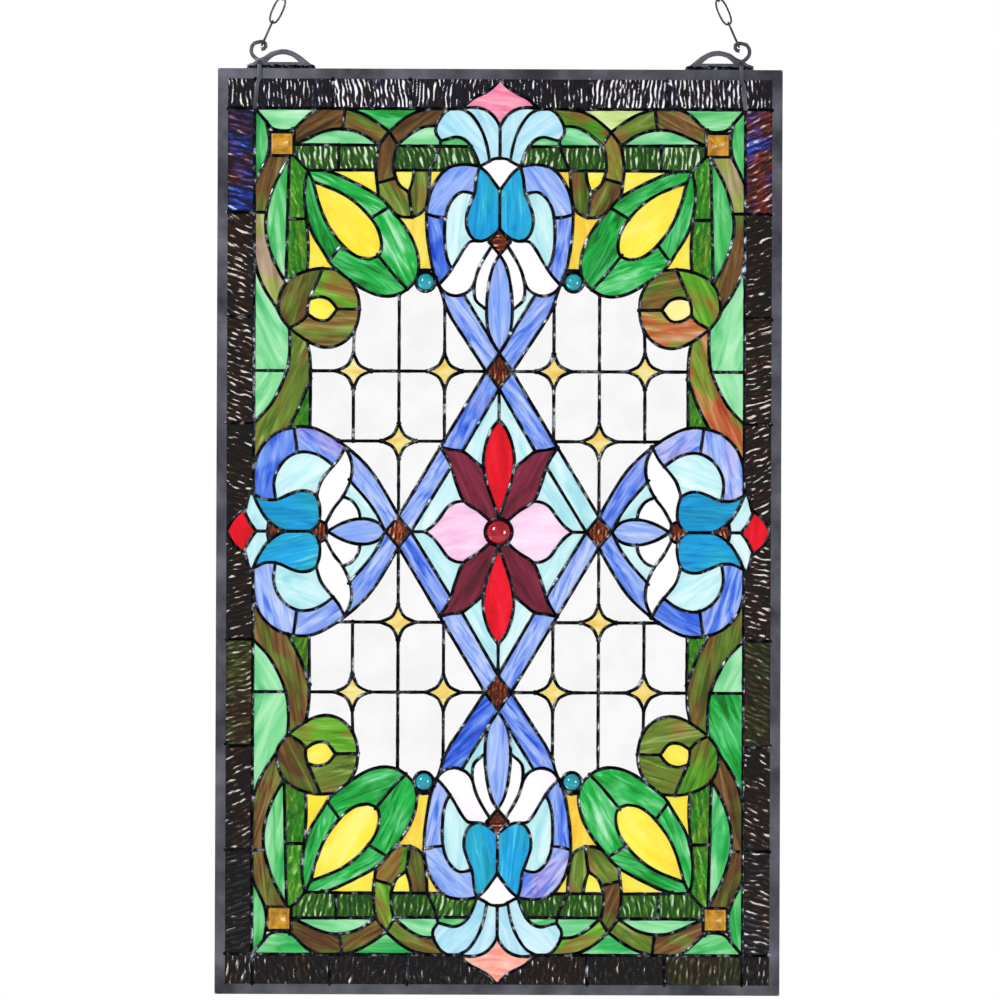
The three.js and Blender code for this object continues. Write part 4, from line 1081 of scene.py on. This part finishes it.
def addDrop(points, faces, x, z, radius, height, ringCount=9, rowCount=6, y=0.0):
    first = len(points)
    points.append((x * mm, (y - height) * mm, panelMiddle + z * mm))
    for i in range(1, rowCount):
        tilt = math.pi * i / rowCount
        for j in range(ringCount):
            turn = 2 * math.pi * j / ringCount
            points.append(((x + radius * math.sin(tilt) * math.cos(turn)) * mm,
                           (y - height * math.cos(tilt)) * mm,
                           panelMiddle + (z + radius * math.sin(tilt) * math.sin(turn)) * mm))
    points.append((x * mm, (y + height) * mm, panelMiddle + z * mm))
    last = len(points) - 1
    for j in range(ringCount):
        k = (j + 1) % ringCount
        faces.append((first, first + 1 + j, first + 1 + k))
        for i in range(rowCount - 2):
            a, b = first + 1 + i * ringCount, first + 1 + (i + 1) * ringCount
            faces.append((a + j, b + j, b + k, a + k))
        base = first + 1 + (rowCount - 2) * ringCount
        faces.append((base + j, last, base + k))


def tidyMesh(name, points, faces, material, sharp=50):
    mesh = bpy.data.meshes.new(name)
    mesh.from_pydata(points, [], faces)
    form = bmesh.new()
    form.from_mesh(mesh)
    bmesh.ops.recalc_face_normals(form, faces=form.faces)
    form.to_mesh(mesh)
    form.free()
    mesh.materials.append(material)
    mesh.shade_smooth()
    mesh.set_sharp_from_angle(angle=math.radians(sharp))
    return mesh


leadHalves = {"leadLinesUpper": ([], []), "leadLinesLower": ([], [])}
for line in lines:
    upper = sum(p.y for p in line) / len(line) > 0
    addBead(*leadHalves["leadLinesUpper" if upper else "leadLinesLower"], line)
rng = random.Random(11)
placed = []
for joint in sorted(joints, key=lambda p: (round(p.x, 1), round(p.y, 1))):
    if abs(joint.x) > leadLook["dropEdge"][0] or abs(joint.y) > leadLook["dropEdge"][1]:
        continue
    if all((joint - other).length > leadLook["dropGap"] for other in placed):
        placed.append(joint)
        radius = leadLook["dropRadius"] + rng.uniform(-1, 1) * leadLook["dropSpread"]
        half = leadHalves["leadLinesUpper" if joint.y > 0 else "leadLinesLower"]
        addDrop(*half, joint.x, joint.y, radius, leadLook["halfDepth"])
for name, (points, faces) in leadHalves.items():
    addPiece(name, tidyMesh(name, points, faces, glintedSolderMaterial), ("leading",))
print("leading made,", [len(half[1]) for half in leadHalves.values()], "faces,", len(placed), "drops")

# ---- gems: mm, radii and half sides across, fronts forwards, backs behind the middle
gemShape = {"nuggetRadius": 7.5, "nuggetFront": 5.5, "centreRadius": 10.8, "centreFront": 7.5,
            "back": 1.5, "jewelHalf": 9.4, "jewelFront": 3.3, "nuggetSpot": (65, 219.5),
            "jewelSpot": (191.6, 340.2), "turns": 40, "domeRows": 12}


def nuggetMesh(name, x, z, radius, front, material):
    # a flat back, a rounded foot and a melted dome
    back = gemShape["back"]
    shape = [(radius * 0.9, back), (radius * 0.985, back - 0.5), (radius, back - 1.4)]
    shape += [(radius * math.cos(t) ** 0.9, back - 1.4 - (front + back - 1.4) * math.sin(t))
              for t in [math.pi / 2 * i / gemShape["domeRows"] for i in range(1, gemShape["domeRows"])]]
    turns = gemShape["turns"]
    points = [(x * mm, back * mm, panelMiddle + z * mm)]
    for r, y in shape:
        for j in range(turns):
            turn = 2 * math.pi * j / turns
            points.append(((x + r * math.cos(turn)) * mm, y * mm,
                           panelMiddle + (z + r * math.sin(turn)) * mm))
    points.append((x * mm, -front * mm, panelMiddle + z * mm))
    faces = []
    for j in range(turns):
        k = (j + 1) % turns
        faces.append((0, 1 + j, 1 + k))
        for i in range(len(shape) - 1):
            a, b = 1 + i * turns, 1 + (i + 1) * turns
            faces.append((a + j, a + k, b + k, b + j))
        a = 1 + (len(shape) - 1) * turns
        faces.append((a + j, a + k, len(points) - 1))
    return tidyMesh(name, points, faces, material, 60)


def jewelMesh(name, x, z, material):
    # pressed square jewel: bevelled edge, four hollowed facets, small raised table
    half, front, back = gemShape["jewelHalf"], gemShape["jewelFront"], gemShape["back"]
    points, faces = [], []
    steps = 8
    for y, size, pinch in ((back, 0.94, 0), (back - 0.4, 1.0, 0), (-1.5, 1.0, 0), (-2.3, 0.94, 0),
                           (-2.5, 0.84, 0.03), (-1.3, 0.72, 0.2), (-2.8, 0.4, 0.5), (-front, 0.06, 0.1)):
        for side in range(4):
            for i in range(steps):
                t = -1 + 2 * i / steps
                reach = size * half * (1 - pinch * (1 - t * t))
                px, pz = ((reach, t * size * half), (-t * size * half, reach),
                          (-reach, -t * size * half), (t * size * half, -reach))[side]
                points.append(((x + px) * mm, y * mm, panelMiddle + (z + pz) * mm))
    ring = steps * 4
    for row in range(7):
        for j in range(ring):
            k = (j + 1) % ring
            faces.append((row * ring + j, row * ring + k, (row + 1) * ring + k, (row + 1) * ring + j))
    faces.append(tuple(reversed(range(ring))))
    faces.append(tuple(range(7 * ring, 8 * ring)))
    return tidyMesh(name, points, faces, material, 22)


for sx in (1, -1):
    for sz in (1, -1):
        corner = cornerOf(sx, sz)
        title = corner.title().replace("_", "")
        x, z = gemShape["nuggetSpot"]
        mesh = nuggetMesh(f"nugget{title}", x * sx, z * sz, gemShape["nuggetRadius"],
                          gemShape["nuggetFront"], gemMaterials["melted glass nugget, turquoise"])
        addPiece(f"nugget{title}", mesh, (f"nugget_{corner}",))
        x, z = gemShape["jewelSpot"]
        mesh = jewelMesh(f"jewel{title}", x * sx, z * sz, gemMaterials["pressed glass jewel, amber"])
        addPiece(f"jewel{title}", mesh, (f"jewel_{corner}",))
addPiece("centreNugget",
         nuggetMesh("centreNugget", 0, 0, gemShape["centreRadius"], gemShape["centreFront"],
                    gemMaterials["melted glass nugget, red"]), ("centre_nugget",))
print("gems made")

# ---- frame and hangers: the CAD shapes with their edges eased
edgeLook = {"frame": 0.5, "hanger": 0.7, "segments": 2, "mitreSlack": 0.3}
panelHalf = (248.0, 406.5)  # half the channel frame's width and height


def onMitre(edge):
    # both ends on the slanted cut between two channels
    x, z = panelHalf
    return all(abs(x - abs(v.co.x / mm) - z + abs(v.co.z - panelMiddle) / mm) < edgeLook["mitreSlack"]
               for v in edge.verts)


def easedCopy(node, name, material, width):
    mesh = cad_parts[node].data.copy()
    mesh.name = name
    form = bmesh.new()
    form.from_mesh(mesh)
    bmesh.ops.remove_doubles(form, verts=form.verts, dist=0.00001)
    bmesh.ops.dissolve_limit(form, angle_limit=math.radians(1.5), verts=form.verts, edges=form.edges)
    sharp = [e for e in form.edges if len(e.link_faces) == 2 and e.calc_face_angle() > math.radians(35)
             and not onMitre(e)]
    bmesh.ops.bevel(form, geom=sharp, offset=width * mm, segments=edgeLook["segments"],
                    affect="EDGES", clamp_overlap=True, profile=0.6)
    form.to_mesh(mesh)
    form.free()
    mesh.materials.clear()
    mesh.materials.append(material)
    mesh.shade_smooth()
    mesh.set_sharp_from_angle(angle=math.radians(40))
    return addPiece(name, mesh, (node,))


for side in ("top", "bottom", "left", "right"):
    easedCopy(f"frame_{side}", f"zincChannel{side.title()}", zincMaterial, edgeLook["frame"])
for side in ("left", "right"):
    easedCopy(f"hanger_{side}", f"hanger{side.title()}", zincMaterial, edgeLook["hanger"])

# solder tacks where the lead lines meet the channel, and one on each mitre
tackLook = {"radius": 2.6, "height": 1.1, "lip": (239.3, 397.6), "depth": 2.6,
            "sideHeights": (371, 280, 187, 95), "topPlaces": (79, 147, 215), "mitreRadius": 3.0,
            "mitreHeight": 0.9, "mitre": ((241.0, 399.5), (242.8, 401.3), (244.6, 403.1)),
            "footStart": 165.5, "footGap": 2.1, "footCount": 27, "footHeight": 406.6, "footDepth": 1.9}
points, faces = [], []
tackSpots = [(tackLook["lip"][0], z) for z in tackLook["sideHeights"]]
tackSpots += [(x, tackLook["lip"][1]) for x in tackLook["topPlaces"]]


def addTacks(points, faces, spots, radius, height):
    # the same spots in all four corners, front and back
    for x, z in spots:
        for sx in (1, -1):
            for sz in (1, -1):
                for front in (-1, 1):
                    addDrop(points, faces, x * sx, z * sz, radius, height, 12, 6,
                            front * tackLook["depth"])


addTacks(points, faces, tackSpots, tackLook["radius"], tackLook["height"])
# a lumpy seam of solder where each hanger stands on the channel
rng = random.Random(5)
for i in range(tackLook["footCount"]):
    x = tackLook["footStart"] + i * tackLook["footGap"]
    for sx in (1, -1):
        for front in (-1, 1):
            addDrop(points, faces, x * sx, tackLook["footHeight"] + rng.uniform(-0.6, 0.6),
                    tackLook["radius"] + rng.uniform(-0.6, 0.7), 1.3, 12, 6, front * tackLook["footDepth"])
addPiece("solderTacks", tidyMesh("solderTacks", points, faces, glintedSolderMaterial), ())
# a low wiped patch of solder over each mitre, as grey as the channel
points, faces = [], []
addTacks(points, faces, tackLook["mitre"], tackLook["mitreRadius"], tackLook["mitreHeight"])
addPiece("mitrePatches", tidyMesh("mitrePatches", points, faces, zincMaterial), ())
print("frame and hangers made")

# ---- chain and ring
chainLook = {"links": 23, "length": 25.4, "width": 10.5, "wire": 1.8, "first": 11.8, "pitch": 21.95,
             "lean": 24.0, "seat": (209.6, -480.75), "pathSteps": 40, "wireSteps": 10}
ringLook = {"radius": 11.5, "wire": 3.0, "drop": 10.0, "pathSteps": 72, "wireSteps": 18}


def addLoop(points, faces, path, radius, across, steps):
    # a closed wire along the path; across is the direction out of its plane
    first = len(points)
    count = len(path)
    for i, p in enumerate(path):
        along = (path[(i + 1) % count] - path[i - 1]).normalized()
        outward = along.cross(across).normalized()
        for j in range(steps):
            turn = 2 * math.pi * j / steps
            points.append(tuple(p + outward * radius * math.cos(turn) + across * radius * math.sin(turn)))
    for i in range(count):
        a, b = first + i * steps, first + (i + 1) % count * steps
        for j in range(steps):
            k = (j + 1) % steps
            faces.append((a + j, a + k, b + k, b + j))


def linkPath(middle, along, side):
    halfWidth = (chainLook["width"] - chainLook["wire"]) / 2 * mm
    halfLength = (chainLook["length"] - chainLook["wire"]) / 2 * mm
    path = []
    for i in range(chainLook["pathSteps"]):
        turn = 2 * math.pi * i / chainLook["pathSteps"]
        c, s = math.cos(turn), math.sin(turn)
        # a softened oblong: squarer than an ellipse
        x = math.copysign(abs(c) ** 0.75, c) * halfWidth
        z = math.copysign(abs(s) ** 0.85, s) * halfLength
        path.append(middle + side * x + along * z)
    return path


for title, mirror in (("left", -1), ("right", 1)):
    lean = math.radians(chainLook["lean"])
    seat = Vector((chainLook["seat"][0] * mirror * mm, 0, chainLook["seat"][1] * mm))
    along = Vector((-mirror * math.sin(lean), 0, math.cos(lean)))
    flat = Vector((math.cos(lean), 0, mirror * math.sin(lean)))
    depth = Vector((0, 1, 0))
    points, faces = [], []
    for i in range(chainLook["links"]):
        middle = seat + along * (chainLook["first"] + i * chainLook["pitch"]) * mm
        side, across = (depth, flat) if i % 2 == 0 else (flat, depth)
        addLoop(points, faces, linkPath(middle, along, side), chainLook["wire"] / 2 * mm, across,
                chainLook["wireSteps"])
    name = f"chain{title.title()}"
    addPiece(name, tidyMesh(name, points, faces, steelMaterial, 180), (f"chain_{title}",))
points, faces = [], []
centre = Vector((0, 0, -ringLook["drop"] * mm))
path = [centre + Vector((math.cos(t), 0, math.sin(t))) * ringLook["radius"] * mm
        for t in [2 * math.pi * i / ringLook["pathSteps"] for i in range(ringLook["pathSteps"])]]
addLoop(points, faces, path, ringLook["wire"] / 2 * mm, Vector((0, 1, 0)), ringLook["wireSteps"])
mesh = tidyMesh("hangingRing", points, faces, steelMaterial, 180)
addPiece("hangingRing", mesh, ("ring",))
print("chain made")

# ---- room: a small pale floor, an even white surround, two soft lights, the camera
roomLook = {"floorRadius": 1.1, "floorHeight": -1.4, "nearSide": 0.42, "farSide": 1.0, "distance": 9.0,
            "viewWidth": 0.8784, "aimX": 0.0011, "aimZ": 0.0281, "roll": 0.217,
            "fade": 0.3, "sensor": 36.0}
floorMesh = bpy.data.meshes.new("floor")
turns = 64
floorMesh.from_pydata([(roomLook["floorRadius"] * math.cos(2 * math.pi * i / turns),
                        roomLook["floorRadius"] * math.sin(2 * math.pi * i / turns),
                        roomLook["floorHeight"]) for i in range(turns)], [], [tuple(range(turns))])
floorMaterial, tree, shader = startMaterial("pale studio floor", {
    "Base Color": colour("#E4E3E0"), "Roughness": 0.8})
floorMesh.materials.append(floorMaterial)
floor = bpy.data.objects.new("floor", floorMesh)
bpy.context.collection.objects.link(floor)

world = bpy.data.worlds.new("studio")
bpy.context.scene.world = world
world.use_nodes = True
# white behind the panel, dimmer on the side the camera stands, so that the glass keeps its depth
tree = world.node_tree
way = addNode(tree, "ShaderNodeTexCoord").outputs["Generated"]
parts = addNode(tree, "ShaderNodeSeparateXYZ", None, {"Vector": way})
shade = addNode(tree, "ShaderNodeMapRange", {
    "From Min": -roomLook["fade"], "From Max": roomLook["fade"],
    "To Min": roomLook["nearSide"], "To Max": roomLook["farSide"]}, {"Value": parts.outputs["Y"]})
tree.links.new(shade.outputs[0], tree.nodes["Background"].inputs["Strength"])
tree.nodes["Background"].inputs["Color"].default_value = (1, 1, 1, 1)
bpy.context.scene.view_settings.view_transform = "Standard"

lightLook = {"key": ((-1.7, -2.6, 0.3), 0.8, 72), "fill": ((2.1, -2.4, -1.0), 1.0, 42),
             "rear": ((1.6, 2.6, 0.4), 0.9, 30)}
for name, (spot, size, power) in lightLook.items():
    lamp = bpy.data.lights.new(name, "AREA")
    lamp.size = size
    lamp.energy = power
    lampObject = bpy.data.objects.new(name, lamp)
    lampObject.location = spot
    aim = Vector((0, 0, panelMiddle)) - Vector(spot)
    lampObject.rotation_mode = "QUATERNION"
    lampObject.rotation_quaternion = aim.to_track_quat("-Z", "Y")
    bpy.context.collection.objects.link(lampObject)

camera = bpy.data.cameras.new("camera")
camera.sensor_width = roomLook["sensor"]
camera.lens = roomLook["sensor"] * roomLook["distance"] / roomLook["viewWidth"]
camera.clip_end = 100.0
cameraObject = bpy.data.objects.new("camera", camera)
bpy.context.collection.objects.link(cameraObject)
cameraObject.matrix_world = (
    Matrix.Translation((roomLook["aimX"], -roomLook["distance"], panelMiddle + roomLook["aimZ"]))
    @ Matrix.Rotation(math.radians(90), 4, "X") @ Matrix.Rotation(math.radians(roomLook["roll"]), 4, "Z"))
bpy.context.scene.camera = cameraObject
print("room made")
